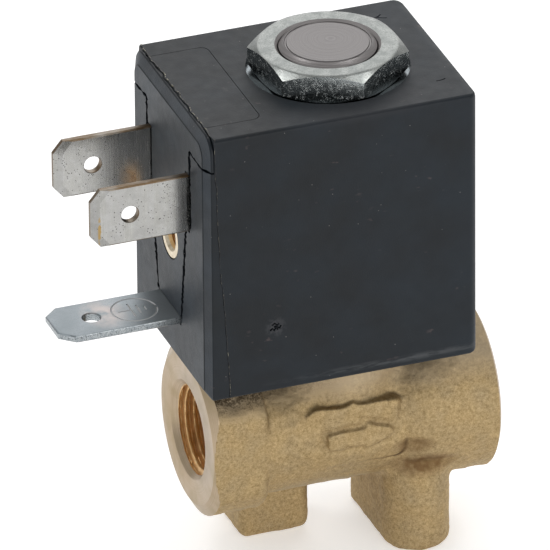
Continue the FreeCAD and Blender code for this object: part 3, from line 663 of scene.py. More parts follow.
def cut_tab_slots(piece, leads_from, leads_to):
    """Cut the ragged pockets that the live tabs stand in, and the holes for their leads."""
    rng = np.random.default_rng(22)
    gap = 0.08
    for tab in (REAR_TAB, FRONT_TAB):
        low, high = tab.bottom - gap, tab.top + gap
        near, far = tab.front - gap * 3, tab.back + gap * 3
        outline = ragged([(near, low), (far, low), (far, high), (near, high), (near, low)], rng, 0.4, 0.025)
        combine(piece, prism("slot", outline[:-1], CASE.left - 1, tab.right + 0.05, "x"))
        combine(piece, rod(LEAD_RADIUS, leads_from, leads_to, "x", tab.middle[1:], 16))


def terminal_carrier():
    """Terminal block: band, block and column, with slots for the tabs and the insert."""
    band, block = carrier_tools(-0.07)
    carrier = combine(case_block("terminal_carrier"), block, "INTERSECT")
    front = combine(case_block("front"), band, "INTERSECT")
    combine(carrier, front, "UNION")
    cut_tab_slots(carrier, REAR_TAB.right - 0.3, REAR_TAB.right + 1.5)
    combine(carrier, rod(INSERT.back + 0.06, CASE.left - 1, INSERT.right, "x", INSERT.middle[1:]))
    combine(carrier, seam_groove())
    return carrier


def coil_case():
    case = case_block("coil_case")
    for tool in carrier_tools(0.1):
        combine(case, tool)
    gap = 0.04
    for low, high in ((YOKE.top - 0.5, CASE.top + 1), (CASE.bottom - 1, YOKE.bottom + 0.5)):
        combine(case, rod(RECESS_RADIUS, low, high))
    left, right = YOKE.left - gap, YOKE.right + gap
    low, high = YOKE.bottom - gap, YOKE.top + gap
    inner_low, inner_high = FLANGE.bottom + gap, FLANGE.top - gap
    room = [(left, low), (right, low), (right, high), (left, high), (left, inner_high),
            (right - 1.9, inner_high), (right - 1.9, inner_low), (left, inner_low)]
    combine(case, prism("yoke_room", room, YOKE.front - gap, YOKE.back + gap, "y"))
    combine(case, rod(FLANGE.back + gap, FLANGE.bottom - gap, FLANGE.top + gap))
    slot = [(CASE.left - 1, EARTH_TAB.top + 0.12), (YOKE.left, EARTH_TAB.top + 0.12),
            (YOKE.left, YOKE.bottom + 0.3), (YOKE.left - 0.9, YOKE.bottom + 0.3),
            (YOKE.left - 0.9, EARTH_TAB.top - 0.9), (CASE.left - 1, EARTH_TAB.top - 0.9)]
    combine(case, prism("earth_slot", slot, EARTH_TAB.front - 0.16, EARTH_TAB.back + 0.1, "y"))
    cut_tab_slots(case, CASE.left + BLOCK_DEPTH - 1, -5)
    combine(case, seam_groove())
    for tool in scratch_tools():
        combine(case, tool)
    return case


# Metal pieces

def blade_outline(tip, root, low, high, bevel_x, bevel_side, inset, inset_tip):
    """Outline of a flat tab with its two front corners cut off."""
    tip, low, high = tip + inset_tip, low + inset, high - inset
    return [(root, low), (root, high), (tip + bevel_x, high), (tip, high - bevel_side),
            (tip, low + bevel_side), (tip + bevel_x, low)]


def live_tab(name, tab):
    """Tab on edge: its faces slope in near the tip and along both edges."""
    layers = []
    for along, inset, inset_tip in ((tab.front, 0.16, 0.95), (tab.front + 0.05, 0.05, 0.62),
                                    (tab.front + 0.16, 0.0, 0.0), (tab.back - 0.16, 0.0, 0.0),
                                    (tab.back - 0.05, 0.05, 0.62), (tab.back, 0.16, 0.95)):
        outline = blade_outline(tab.left, tab.right, tab.bottom, tab.top, 1.05, 1.25, inset, inset_tip)
        layers.append((along, outline))
    piece = layered(name, layers, "y")
    centre = tab.left + 4.1, (tab.bottom + tab.top) / 2
    hole = lathe("hole", [(0, tab.front - 0.5), (1.45, tab.front - 0.5), (0.9, tab.front + 0.06),
                          (0.9, tab.back - 0.06), (1.45, tab.back + 0.5), (0, tab.back + 0.5)],
                 "y", centre, 80)
    return combine(piece, hole)


def earth_mark():
    """Grooves of the protective earth symbol in its ring, turned with its stem to the tip."""
    centre = EARTH_TAB.left + 8.7
    top = EARTH_TAB.top
    tools = []
    turns = [math.radians(degrees) for degrees in range(4, 361, 8)]
    tools.append([(centre + 2.3 * math.cos(turn), 2.3 * math.sin(turn), top) for turn in turns])
    tools.append([(centre - 1.65 + 0.33 * i, 0.04, top) for i in range(5)])
    for shift, reach in ((-0.3, 1.35), (0.45, 0.85), (1.15, 0.4)):
        tools.append([(centre + shift, reach * (i - 3) / 3, top) for i in range(7)])
    return [groove_tool("mark", path, [(0, 0, 1)] * len(path), 0.2, 0.09) for path in tools]


def earth_tab():
    top, bottom = EARTH_TAB.top, EARTH_TAB.top - 0.8
    reach = EARTH_TAB.back
    layers = []
    for height, inset in ((bottom, 0.16), (bottom + 0.12, 0.03), (bottom + 0.22, 0.0), (top - 0.1, 0.0),
                          (top - 0.03, 0.03), (top, 0.1)):
        outline = blade_outline(EARTH_TAB.left, EARTH_TAB.right, -reach, reach, 1.4, 1.3, inset, inset * 3)
        layers.append((height, outline))
    piece = layered("earth_blade", layers, "z")
    leg = prism("leg", [(-reach + 0.01, EARTH_TAB.bottom), (reach - 0.01, EARTH_TAB.bottom),
                        (reach - 0.01, top - 0.3), (-reach + 0.01, top - 0.3)],
                EARTH_TAB.right - 0.8, EARTH_TAB.right - 0.005, "x")
    combine(piece, leg, "UNION")
    centre = EARTH_TAB.left + 4.2, 0
    combine(piece, lathe("hole", [(0, bottom - 0.5), (0.9, bottom - 0.5), (0.9, top - 0.09), (1.0, top),
                                  (1.4, top + 0.4), (0, top + 0.4)], "z", centre, 64))
    for tool in earth_mark():
        combine(piece, tool)
    return piece


def hexagon_nut():
    """Thin nut: a hexagon turned down to a cone on both faces, with a countersunk bore."""
    corner = NUT_FLAT / math.cos(math.radians(30))
    turns = [math.radians(36 + 60 * step) for step in range(6)]
    corners = [(corner * math.cos(turn), corner * math.sin(turn), 0.35) for turn in turns]
    nut = prism("hexagon_nut", rounded(corners, 5), NUT.bottom, NUT.top, "z")
    slope = 1.6 * math.tan(math.radians(30))
    turned = lathe("turned", [(0, NUT.bottom), (6.9, NUT.bottom), (8.5, NUT.bottom + slope),
                              (8.5, NUT.top - slope), (7.06, NUT.top - 0.1), (6.88, NUT.top - 0.015),
                              (6.6, NUT.top), (0, NUT.top)], "z", (0, 0), 192)
    combine(nut, turned, "INTERSECT")
    bore = CORE.back + 0.05
    rows = [(place, bore + 0.36 - min(place - NUT.bottom, NUT.top - place))
            for place in evenly(NUT.bottom - 0.5, NUT.top - NUT.bottom + 1, 0.1)]
    return combine(nut, threaded("nut_thread", rows, bore + 0.04, bore - 0.005, 1.0, "z"))


def core():
    """Fixed core: shading groove at the foot, relief inside the nut, and a faced end."""
    top = CORE.top
    inner, outer = 2.85, 3.55
    profile = [(0, CORE.bottom), (inner, CORE.bottom), (inner, CORE.bottom + 1), (outer, CORE.bottom + 1),
               (outer, CORE.bottom), (4.45, CORE.bottom), (4.45, TUBE.top), (STUD_RADIUS, TUBE.top)]
    rng = np.random.default_rng(51)
    rim = [(STUD_RADIUS, NUT.bottom), (4.72, NUT.bottom + 0.2), (4.72, NUT.top - 0.6),
           (STUD_RADIUS, top - 0.42), (4.86, top - 0.36), (4.42, top - 0.06), (4.36, top - 0.02)]
    face = [(4.34, top), (4.30, top - 0.08), (4.16, top - 0.09), (4.1, top - 0.005)]
    face += [(4.0 - 0.15 * step, top - rng.uniform(0.0, 0.014)) for step in range(26)]
    return lathe("core", profile + rim + face + [(0, top - 0.02)], steps=128)


def return_spring():
    """Round wire wound to the size of the spring's node, with a closed turn at each end."""
    wire, turns, steps, sides = 0.25, 6.5, 32, 14
    upward = Vector((0, 0, 1))
    radius = (SPRING.right - SPRING.left) / 2 - wire
    height = SPRING.top - SPRING.bottom - 2 * wire
    closed = 2.1 * wire
    rings = []
    for step in range(int(turns * steps) + 1):
        turn = step / steps
        climb = np.interp(turn, (0, 1, turns - 1, turns), (0, closed, height - closed, height))
        angle = 2 * math.pi * turn
        outward = Vector((math.cos(angle), math.sin(angle), 0))
        middle = outward * radius + upward * (SPRING.bottom + wire + climb)
        sweeps = [2 * math.pi * side / sides for side in range(sides)]
        rings.append([middle + (outward * math.cos(sweep) + upward * math.sin(sweep)) * wire
                      for sweep in sweeps])
    return stacked("return_spring", rings)


def screw_insert():
    """Tapped insert with a holding groove."""
    middle = INSERT.middle[1:]
    left, right = INSERT.left - 0.05, INSERT.right
    radius = INSERT.back
    centre = (left + right) / 2
    ring = lathe("screw_insert", [(0, left), (radius - 0.08, left), (radius, left + 0.08),
                                  (radius, centre - 0.6), (radius - 0.3, centre - 0.6),
                                  (radius - 0.3, centre + 0.6), (radius, centre + 0.6),
                                  (radius, right), (0, right)], "x", middle)
    rows = [(place, 1.78 - (place - left) * 0.8) for place in evenly(left - 0.4, right - left + 0.8, 0.05)]
    return combine(ring, threaded("insert_thread", rows, 1.5, 1.23, 0.5, "x", middle, 64))


# Finishes

def scaled(values, factor):
    return tuple(value * factor for value in values)


class Finish:
    """A node material whose texture space is the object's own, in mm."""

    def __init__(self, name, colour, metallic=0.0, roughness=0.5, specular=0.5):
        self.material = bpy.data.materials.new(name)
        self.material.use_nodes = True
        self.nodes = self.material.node_tree.nodes
        self.links = self.material.node_tree.links
        self.shader = self.nodes["Principled BSDF"]
        self.put(self.shader, {"Base Color": (*colour, 1), "Metallic": metallic, "Roughness": roughness,
                               "Specular IOR Level": specular})
        space = self.nodes.new("ShaderNodeTexCoord").outputs["Object"]
        self.place = self.node("ShaderNodeVectorMath", {0: space, "Scale": 1 / MM}, operation="SCALE")

    def put(self, node, inputs):
        for socket, value in inputs.items():
            if isinstance(value, bpy.types.NodeSocket):
                self.links.new(value, node.inputs[socket])
            else:
                node.inputs[socket].default_value = value

    def node(self, kind, inputs, **settings):
        """Add a node and return its first visible output."""
        node = self.nodes.new(kind)
        for setting, value in settings.items():
            setattr(node, setting, value)
        self.put(node, inputs)
        return next(output for output in node.outputs if output.enabled)

    def vector(self, operation, values, place=None):
        """The texture space, or another place, combined with fixed values."""
        return self.node("ShaderNodeVectorMath", {0: place or self.place, 1: values}, operation=operation)

    def length(self, place):
        node = self.nodes.new("ShaderNodeVectorMath")
        node.operation = "LENGTH"
        self.put(node, {0: place})
        return node.outputs["Value"]

    def stretched(self, x, y, z):
        """Texture space with each axis divided by a factor, for streaks."""
        return self.vector("MULTIPLY", (1 / x, 1 / y, 1 / z))

    def noise(self, grain, detail=2.0, place=None, rough=0.5):
        return self.node("ShaderNodeTexNoise", {"Vector": place or self.place, "Scale": 1 / grain,
                                                "Detail": detail, "Roughness": rough})

    def cloud(self, grain, detail, low, high, place=None, rough=0.5):
        """Noise with more contrast: 0 at low and 1 at high."""
        return self.steps(self.noise(grain, detail, place, rough), low, high)

    def rings(self, centre, weights, rate, detail):
        """Noise in rings round an axis through the centre. The weights take out the run of the axis."""
        away = self.vector("MULTIPLY", weights, self.vector("ADD", scaled(centre, -1)))
        return self.node("ShaderNodeTexNoise", {"W": self.product(self.length(away), rate),
                                                "Detail": detail, "Scale": 1.0}, noise_dimensions="1D")

    def patch(self, place, reach):
        """1 at a place on the piece, falling to 0 at the given reach along each axis."""
        offset = self.vector("ADD", scaled(place, -1))
        shares = self.vector("MULTIPLY", tuple(1 / value for value in reach), offset)
        return self.steps(self.length(shares), 1.0, 0.0)

    def spots(self, grain, size, place=None):
        """1 in scattered round spots, 0 between them."""
        far = self.node("ShaderNodeTexVoronoi", {"Vector": place or self.place, "Scale": 1 / grain})
        return self.steps(far, size, size * 0.6)

    def steps(self, source, low, high):
        """Source mapped from low..high to 0..1, and clamped."""
        return self.node("ShaderNodeMapRange", {"Value": source, "From Min": low, "From Max": high})

    def math(self, operation, one, other=0.0):
        return self.node("ShaderNodeMath", {0: one, 1: other}, operation=operation)

    def product(self, first, *others):
        for other in others:
            first = self.math("MULTIPLY", first, other)
        return first

    def over(self, tone, colour, *factors):
        """The tone with a colour laid over it, as far as the product of the factors says."""
        return self.mix(self.product(*factors), tone, colour)

    def mix(self, factor, one, other):
        node = self.nodes.new("ShaderNodeMix")
        node.data_type = "RGBA"
        colours = [(*value, 1) if isinstance(value, tuple) else value for value in (one, other)]
        self.put(node, {0: factor, 6: colours[0], 7: colours[1]})
        return node.outputs[2]

    def axis(self, name):
        split = self.nodes.new("ShaderNodeSeparateXYZ")
        self.put(split, {0: self.place})
        return split.outputs[name]

    def colour(self, source):
        self.put(self.shader, {"Base Color": source})

    def rough(self, source, low, high):
        """Roughness from low to high as the source goes from 0 to 1."""
        node = self.node("ShaderNodeMapRange", {"Value": source, "To Min": low, "To Max": high})
        self.put(self.shader, {"Roughness": node})

    def bump(self, *layers):
        """Raise the surface by layers of (height from 0 to 1, depth in mm)."""
        normal = None
        for height, depth in layers:
            inputs = {"Height": height, "Distance": depth * MM}
            if normal:
                inputs["Normal"] = normal
            normal = self.node("ShaderNodeBump", inputs)
        self.put(self.shader, {"Normal": normal})


def panel_corner_shadow(made):
    """1 along the painted shadow line round the lower right corner of the cast panel."""
    middle = [(low + high) / 2 for low, high in zip(PANEL_LOW, PANEL_HIGH)]
    half = [(high - low) / 2 - PANEL_CORNER for low, high in zip(PANEL_LOW, PANEL_HIGH)]
    flat = made.vector("MULTIPLY", (1, 0, 1))
    for operation, values in (("SUBTRACT", (middle[0], 0, PORT_HEIGHT + middle[1])),
                              ("ABSOLUTE", (0, 0, 0)), ("SUBTRACT", (half[0], 0, half[1])),
                              ("MAXIMUM", (0, 0, 0))):
        flat = made.vector(operation, values, flat)
    away = made.math("ABSOLUTE", made.math("SUBTRACT", made.length(flat), PANEL_CORNER + 0.05))
    near = made.patch((5.0, -7.6, PORT_HEIGHT - 3.0), (4.0, 4.0, 2.8))
    return made.product(made.steps(away, 0.3, 0.05), made.cloud(0.5, 3, 0.25, 0.5), near, 1.3)


def cast_brass():
    """Shot-blasted forging: pale grit on a darker ground; painted shadow in dark speckles under the coil,
    painted shade over the folds, dirt and painted shade in the creases, and painted light low on the front
    and near the top.
    """
    made = Finish("cast_brass", (0.5, 0.36, 0.17), 1.0, 0.5)
    grit = made.noise(0.13, 3, rough=0.7)
    coarse = made.noise(0.34, 4, rough=0.75)
    mottle = made.math("ADD", made.product(grit, 0.45), made.product(coarse, 0.55))
    blotch = made.cloud(2.6, 3, 0.4, 0.75)
    ground = made.mix(blotch, (0.31, 0.22, 0.10), (0.275, 0.20, 0.105))
    bright = made.mix(blotch, (0.57, 0.43, 0.235), (0.51, 0.40, 0.235))
    tone = made.mix(made.steps(mottle, 0.38, 0.61), ground, bright)
    # A pale grey patch low on the front of the barrel: painted reflection of the floor.
    tone = made.over(tone, (0.42, 0.355, 0.255), made.patch((-2.0, -4.2, 8.0), (7.5, 3.0, 2.2)), 0.7)
    height = made.steps(made.axis("Z"), BODY.top - 4.9, BODY.top - 2.6)
    # A pale tint over the top band, under the coil: painted light.
    tone = made.over(tone, (0.66, 0.58, 0.48), height, 0.3)
    # Dark speckles near the top, strongest towards the inlet: painted shadow of the coil, broken into
    # grains.
    limit = made.math("ADD", mottle, made.product(height, 0.10))
    side = made.math("ADD", made.product(made.steps(made.axis("X"), 0.0, -9.0), 0.8), 0.08)
    tone = made.over(tone, (0.08, 0.052, 0.03), made.steps(limit, 0.54, 0.62), height, side)
    # Brown patches over the folds above the outlet foot: painted shade in the hollows.
    for across, up, reach, depth in CREASES:
        fold_shade = made.patch((across - 0.3, -7.0, PORT_HEIGHT + up - 0.15), (reach * 1.7, 4.0, 3.6 * depth))
        tone = made.over(tone, (0.165, 0.089, 0.036), made.steps(fold_shade, 0.0, 0.55),
                         made.cloud(0.9, 4, 0.0, 0.55), 0.2 + 1.3 * depth)
    # A dark line round the panel's lower right corner: painted shadow.
    tone = made.mix(panel_corner_shadow(made), tone, (0.14, 0.085, 0.04))
    # Concave creases darkened by pointiness, less near the top: dirt and painted shade together.
    crease_dirt_and_shade = made.steps(made.nodes.new("ShaderNodeNewGeometry").outputs["Pointiness"], 0.485, 0.40)
    open_side = made.math("SUBTRACT", 1.0, made.product(height, 0.7))
    made.colour(made.over(tone, (0.11, 0.065, 0.03), crease_dirt_and_shade, open_side))
    made.rough(grit, 0.52, 0.76)
    made.bump((grit, 0.02), (coarse, 0.045))
    return made.material


def turned_brass():
    """Port faces: fine rings round the port, under a faint cloud."""
    made = Finish("turned_brass", (0.78, 0.58, 0.42), 1.0, 0.35)
    rings = made.rings((0, 0, PORT_HEIGHT), (0.05, 1, 1), 11.0, 3.0)
    cloud = made.noise(1.8, 3)
    tone = made.mix(made.steps(rings, 0.3, 0.7), (0.40, 0.308, 0.208), (0.47, 0.368, 0.258))
    made.colour(made.mix(made.steps(cloud, 0.42, 0.72), tone, (0.38, 0.298, 0.185)))
    made.rough(cloud, 0.30, 0.46)
    made.bump((rings, 0.004), (made.noise(0.2, 2), 0.004))
    return made.material


def thread_brass():
    """Freshly cut thread, warm and a little dull with oil."""
    made = Finish("thread_brass", (0.80, 0.50, 0.21), 0.6, 0.4)
    cloud = made.noise(0.9, 3)
    made.colour(made.mix(made.steps(cloud, 0.35, 0.7), (0.66, 0.40, 0.16), (0.88, 0.61, 0.30)))
    made.rough(cloud, 0.26, 0.40)
    return made.material


def black_plastic(name, base, grain_depth, specular):
    """Glass-filled nylon: faint clouds, a painted sheen on the top before the nut, dust and lint, scuffs
    low on the front, and the pale rim of the gate mark."""
    made = Finish(name, base, 0.0, 0.5, specular)
    cloud = made.math("ADD", made.noise(5.0, 4), made.product(made.axis("X"), 0.008))
    streaks = made.stretched(2, 2, 1), made.stretched(5, 5, 1)
    pit = made.length(made.vector("ADD", (-PIT_PLACE[0], -CASE.front, -PIT_PLACE[1])))
    tone = made.mix(made.steps(cloud, 0.30, 0.70), scaled(base, 0.6), scaled(base, 1.4))
    # A lighter patch on the top before the nut: painted reflection of the nut.
    sheen_before_nut = made.patch((0.0, -9.3, CASE.top), (10.0, 4.0, 1.0))
    tone = made.over(tone, (0.022, 0.024, 0.029), sheen_before_nut, 0.8)
    rub = made.patch((5.0, CASE.front, CASE.bottom + 0.9), (17.0, 1.0, 0.5))
    tone = made.over(tone, (0.075, 0.08, 0.085), rub, made.cloud(0.3, 3, 0.36, 0.58, streaks[1]), 0.8)
    tone = made.over(tone, (0.07, 0.07, 0.075), made.steps(pit, 1.3, 0.5),
                     made.cloud(0.35, 3, 0.42, 0.62), 0.5)
    tone = made.over(tone, (0.11, 0.08, 0.08), made.cloud(0.6, 2, 0.66, 0.74, streaks[0]),
                     made.cloud(4.0, 1, 0.56, 0.66), 0.4)
    made.colour(made.over(tone, (0.30, 0.28, 0.27), made.spots(1.4, 0.045), 0.5))
    made.rough(made.noise(1.2, 4), 0.42, 0.60)
    made.bump((made.noise(0.16, 2), grain_depth), (made.noise(3.0, 2), 0.018))
    return made.material


def torn_plastic():
    """Mould flash, whitened where it tore."""
    made = Finish("torn_plastic", (0.05, 0.045, 0.04), 0.0, 0.55, 0.4)
    made.colour(made.mix(made.cloud(0.5, 2, 0.52, 0.64), (0.035, 0.033, 0.032), (0.30, 0.28, 0.21)))
    made.bump((made.noise(0.1, 2), 0.01))
    return made.material


def zinc(name, base, shade, grain, rough_low, rough_high, depth, sparkle_shade=0.55):
    """Zinc plating: cloudy, with fine sparkling grain."""
    made = Finish(name, base, 1.0, rough_low)
    cloud = made.noise(grain, 4)
    sparkle = made.noise(0.13, 2)
    tone = made.mix(made.steps(cloud, 0.35, 0.68), base, shade)
    made.colour(made.mix(made.steps(sparkle, 0.52, 0.32), tone, scaled(shade, sparkle_shade)))
    made.rough(cloud, rough_low, rough_high)
    made.bump((sparkle, depth), (made.noise(0.6, 2), depth))
    return made.material


def bright_zinc():
    """Zinc plating of the earth tab: duller towards its tip, with a pinkish bloom behind its hole."""
    made = Finish("bright_zinc", (0.33, 0.355, 0.37), 0.8, 0.35)
    cloud = made.noise(2.6, 4)
    sparkle = made.noise(0.13, 2)
    along = made.axis("X")
    tone = made.mix(made.steps(cloud, 0.35, 0.68), (0.29, 0.315, 0.335), (0.205, 0.235, 0.25))
    tone = made.mix(made.steps(sparkle, 0.50, 0.32), tone, (0.20, 0.225, 0.24))
    tone = made.over(tone, (0.155, 0.18, 0.195),
                     made.steps(along, EARTH_TAB.left + 7.0, EARTH_TAB.left + 1.0), 0.5)
    tone = made.over(tone, (0.42, 0.46, 0.48), made.steps(along, EARTH_TAB.left + 8.5, CASE.left), 0.6)
    bloom = made.patch((EARTH_TAB.left + 5.6, 0.3, EARTH_TAB.top), (2.6, 3.4, 1.0))
    made.colour(made.over(tone, (0.46, 0.405, 0.385), bloom, made.cloud(1.2, 3, 0.3, 0.6), 1.2))
    made.rough(cloud, 0.28, 0.42)
    made.bump((sparkle, 0.001), (made.noise(0.6, 2), 0.001))
    return made.material


def grained_zinc():
    """Flats of the nut: dull dark plating, peppered with bright grains and a long scratch or two."""
    made = Finish("grained_zinc", (0.25, 0.26, 0.26), 1.0, 0.4)
    grains = made.product(made.spots(0.11, 0.45), made.cloud(0.6, 3, 0.42, 0.72))
    slanted = made.node("ShaderNodeMapping", {"Vector": made.place, "Rotation": (0, 0.9, 0),
                                              "Scale": (1.2, 0.1, 9.0)})
    tone = made.mix(made.noise(0.7, 3), (0.30, 0.33, 0.33), (0.48, 0.515, 0.515))
    tone = made.mix(grains, tone, (0.74, 0.76, 0.74))
    made.colour(made.mix(made.cloud(1.0, 1, 0.70, 0.76, slanted), tone, (0.70, 0.70, 0.68)))
    made.rough(made.noise(0.3, 2), 0.18, 0.32)
    made.bump((grains, 0.02), (made.noise(0.16, 2), 0.01))
    return made.material


def faced_steel(name, light):
    """Turned steel: fine rings round an axis a little off the middle."""
    # light scales both tones; the rim of the core takes a lighter copy as painted highlight.
    dark, bright = scaled((0.17, 0.16, 0.158), light), scaled((0.235, 0.223, 0.221), light)
    made = Finish(name, dark, 1.0, 0.36)
    rings = made.rings((0.5, 0.55, 0), (1, 1, 0.02), 13.0, 4.0)
    made.colour(made.mix(made.steps(rings, 0.3, 0.7), dark, bright))
    made.rough(rings, 0.30, 0.46)
    made.bump((rings, 0.01), (made.noise(0.3, 2), 0.003))
    return made.material


def drawn_steel(name, base, along):
    """Steel with drawing marks along one axis."""
    made = Finish(name, base, 1.0, 0.3)
    streaks = made.noise(0.25, 3, made.stretched(*along))
    made.colour(made.mix(made.steps(streaks, 0.35, 0.7), scaled(base, 0.8), base))
    made.rough(streaks, 0.22, 0.4)
    made.bump((streaks, 0.006))
    return made.material


def tinned(name, light):
    """Tin on brass: brushed across the tab, pitted, and clouded. A rub by the root of the rear tab
    and one by the tip of the front tab show the brass."""
    made = Finish(name, (0.62, 0.61, 0.58), 1.0, 0.26)
    brushed = made.noise(0.09, 3, made.stretched(1, 1, 30))
    pits = made.product(made.spots(0.27, 0.21), made.cloud(1.1, 3, 0.45, 0.60))
    # light scales every tone, for lighter and darker copies of the tin: painted light and shade.
    clear = scaled((0.46, 0.455, 0.44), light)
    tone = made.mix(made.steps(brushed, 0.3, 0.72), scaled((0.40, 0.395, 0.37), light),
                    scaled((0.54, 0.535, 0.51), light))
    tone = made.mix(made.cloud(0.8, 2, 0.35, 0.65, made.stretched(1, 1, 14)), tone, clear)
    tone = made.over(tone, (0.60 * light,) * 3, made.cloud(0.8, 4, 0.48, 0.66, rough=0.6), 0.3)
    tone = made.over(tone, scaled(clear, 0.9 * light), made.cloud(1.5, 4, 0.50, 0.70, rough=0.6), 0.6)
    root = made.patch((REAR_TAB.left + 8.2, REAR_TAB.front, REAR_TAB.bottom + 1.2), (1.5, 1.5, 2.2))
    tone = made.over(tone, (0.42, 0.25, 0.12), root, made.noise(0.8, 3), 1.3)
    tip = made.patch((FRONT_TAB.left + 0.9, FRONT_TAB.front, FRONT_TAB.bottom + 1.7), (0.3, 0.5, 3.0))
    worn = made.product(tip, made.cloud(0.4, 3, 0.3, 0.55))
    tone = made.mix(made.steps(worn, 0.3, 0.6), tone, (0.38, 0.26, 0.11))
    made.colour(made.mix(pits, tone, (0.09, 0.09, 0.08)))
    made.rough(brushed, 0.13, 0.34)
    made.bump((brushed, 0.0010), (pits, -0.03))
    return made.material


def sheared_edge():
    """Cut edge of the tab, where the brass shows through a smear of tin."""
    made = Finish("sheared_edge", (0.42, 0.30, 0.15), 1.0, 0.4)
    worn = made.noise(0.8, 3, made.stretched(3, 1, 3))
    made.colour(made.mix(made.steps(worn, 0.42, 0.70), (0.14, 0.095, 0.055), (0.30, 0.275, 0.24)))
    made.rough(worn, 0.3, 0.5)
    made.bump((made.noise(0.15, 2), 0.012))
    return made.material


def insert_metal():
    made = Finish("insert_metal", (0.80, 0.66, 0.45), 1.0, 0.3)
    cloud = made.noise(0.5, 3)
    made.colour(made.mix(made.steps(cloud, 0.35, 0.7), (0.60, 0.50, 0.35), (0.78, 0.69, 0.53)))
    made.rough(cloud, 0.24, 0.42)
    made.bump((cloud, 0.006))
    return made.material


def enamelled_copper():
    """Windings: fine hoops of wire round the bobbin."""
    made = Finish("enamelled_copper", (0.62, 0.25, 0.12), 1.0, 0.3)
    hoops = made.node("ShaderNodeTexWave", {"Vector": made.place, "Scale": 1.6, "Distortion": 0.4},
                      bands_direction="Z")
    made.colour(made.mix(hoops, (0.34, 0.12, 0.05), (0.70, 0.31, 0.15)))
    made.rough(made.noise(1.0, 2), 0.22, 0.36)
    made.bump((hoops, 0.05))
    return made.material


def soft_or_moulded(name, base, grain, roughness):
    """Rubber, nylon or tape: one tone with a slight cloud and a matt skin."""
    made = Finish(name, base, 0.0, roughness, 0.4)
    cloud = made.noise(grain, 4)
    made.colour(made.mix(cloud, scaled(base, 0.75), scaled(base, 1.15)))
    made.rough(cloud, roughness - 0.08, roughness + 0.08)
    made.bump((made.noise(grain / 8, 2), 0.01))
    return made.material


def sharpen_borders(mesh):
    """Keep the edges sharp where one finish meets another."""
    build = bmesh.new()
    build.from_mesh(mesh)
    for edge in build.edges:
        if len({face.material_index for face in edge.link_faces}) > 1:
            edge.smooth = False
    build.to_mesh(mesh)
    build.free()


def finish_piece(piece, body, replaced, finishes, choose=None, angle=32):
    """Shade, paint and place a piece. Choose picks a finish from face centres and normals."""
    mesh = piece.data
    mesh.materials.clear()
    for finish in finishes:
        mesh.materials.append(finish)
    count = len(mesh.polygons)
    picks = np.zeros(count, np.int32)
    if choose:
        centres, normals = np.zeros(count * 3), np.zeros(count * 3)
        mesh.polygons.foreach_get("center", centres)
        mesh.polygons.foreach_get("normal", normals)
        picks = choose(centres.reshape(-1, 3).T, normals.reshape(-1, 3).T).astype(np.int32)
    mesh.polygons.foreach_set("material_index", picks)
    mesh.polygons.foreach_set("use_smooth", np.ones(count, bool))
    mesh.set_sharp_from_angle(angle=math.radians(angle))
    sharpen_borders(mesh)
    mesh.transform(Matrix.Scale(MM, 4))
    mesh.update()
    weights = piece.modifiers.new("weights", "WEIGHTED_NORMAL")
    weights.keep_sharp = True
    bake(piece)
    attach(piece, body)
    if replaced:
        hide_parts(*replaced)


def brass_faces(centres, normals):
    """0 as cast, 1 faced, 2 inside the ports and the bores, 3 on the turned bevels."""
    x, y, z = centres
    radius = np.hypot(y, z - PORT_HEIGHT)
    end = BODY.right - np.abs(x)
    face = np.where(x < 0, FACE_RADIUS[-1], FACE_RADIUS[1])
    bevel = np.abs(end - (radius - face) * math.tan(FACE_BEVEL)) < 0.03
    faced = (end < 0.01) | ((z > BODY.top - 0.01) & (normals[2] > 0.9))
    mouth = (np.abs(radius - PORT_MOUTH + end) < 0.03) & (end < 0.66)
    bored = (radius < PORT_MOUTH) & (end > 0.005) & ~mouth | (np.hypot(x, y) < 6.2) & (z > PORT_HEIGHT)
    return np.select([faced, mouth | (bevel & (radius > face)), bored], [1, 3, 2], 0)


def case_faces(centres, normals):
    """0 on the smooth sides of the case, 1 on the grained side that the tabs stand out of, which gets a
    lighter copy of the plastic as painted light.
    """
    return (normals[0] < -0.9) & (centres[0] < SEAM_PLACE)


def nut_faces(centres, normals):
    """0 on the faces and bevels, 1 on the flats, 2 in the bore."""
    inner = (np.hypot(centres[0], centres[1]) < 5.4) & (np.abs(normals[2]) < 0.9)
    return np.where(inner, 2, np.where(np.abs(normals[2]) < 0.2, 1, 0))


def core_faces(centres, normals):
    """1 on the bevel round the end of the core, which gets a lighter copy of the steel as painted
    highlight, 0 elsewhere.
    """
    return (np.hypot(centres[0], centres[1]) > 4.37) & (centres[2] > CORE.top - 0.8)


def insert_faces(centres, normals):
    """0 outside, 1 in the thread."""
    y, z = centres[1] - INSERT.middle[1], centres[2] - INSERT.middle[2]
    return (np.hypot(y, z) < 1.55) & (centres[0] > INSERT.left + 0.25)


def mark_faces(centres, normals):
    """0 on the faces of the earth tab, 1 in the grooves of its symbol, 2 on its sheared edges."""
    x, y, z = centres
    inside = np.hypot(x - EARTH_TAB.left - 8.7, y) < 2.45
    grooves = inside & (z < EARTH_TAB.top - 0.01) & (z > EARTH_TAB.top - 0.12) & (normals[2] > 0.1)
    return np.where(grooves, 1, np.where(~inside & (np.abs(normals[2]) < 0.5), 2, 0))


def tab_faces(centres, normals):
    """0 on the flat sides of a live tab, 1 on its sheared edges, 2 where it is rolled thin, which gets a
    darker copy of the tin as painted shade.
    """
    return np.where(np.abs(normals[1]) < 0.93, 1, np.where(normals[0] < -0.06, 2, 0))


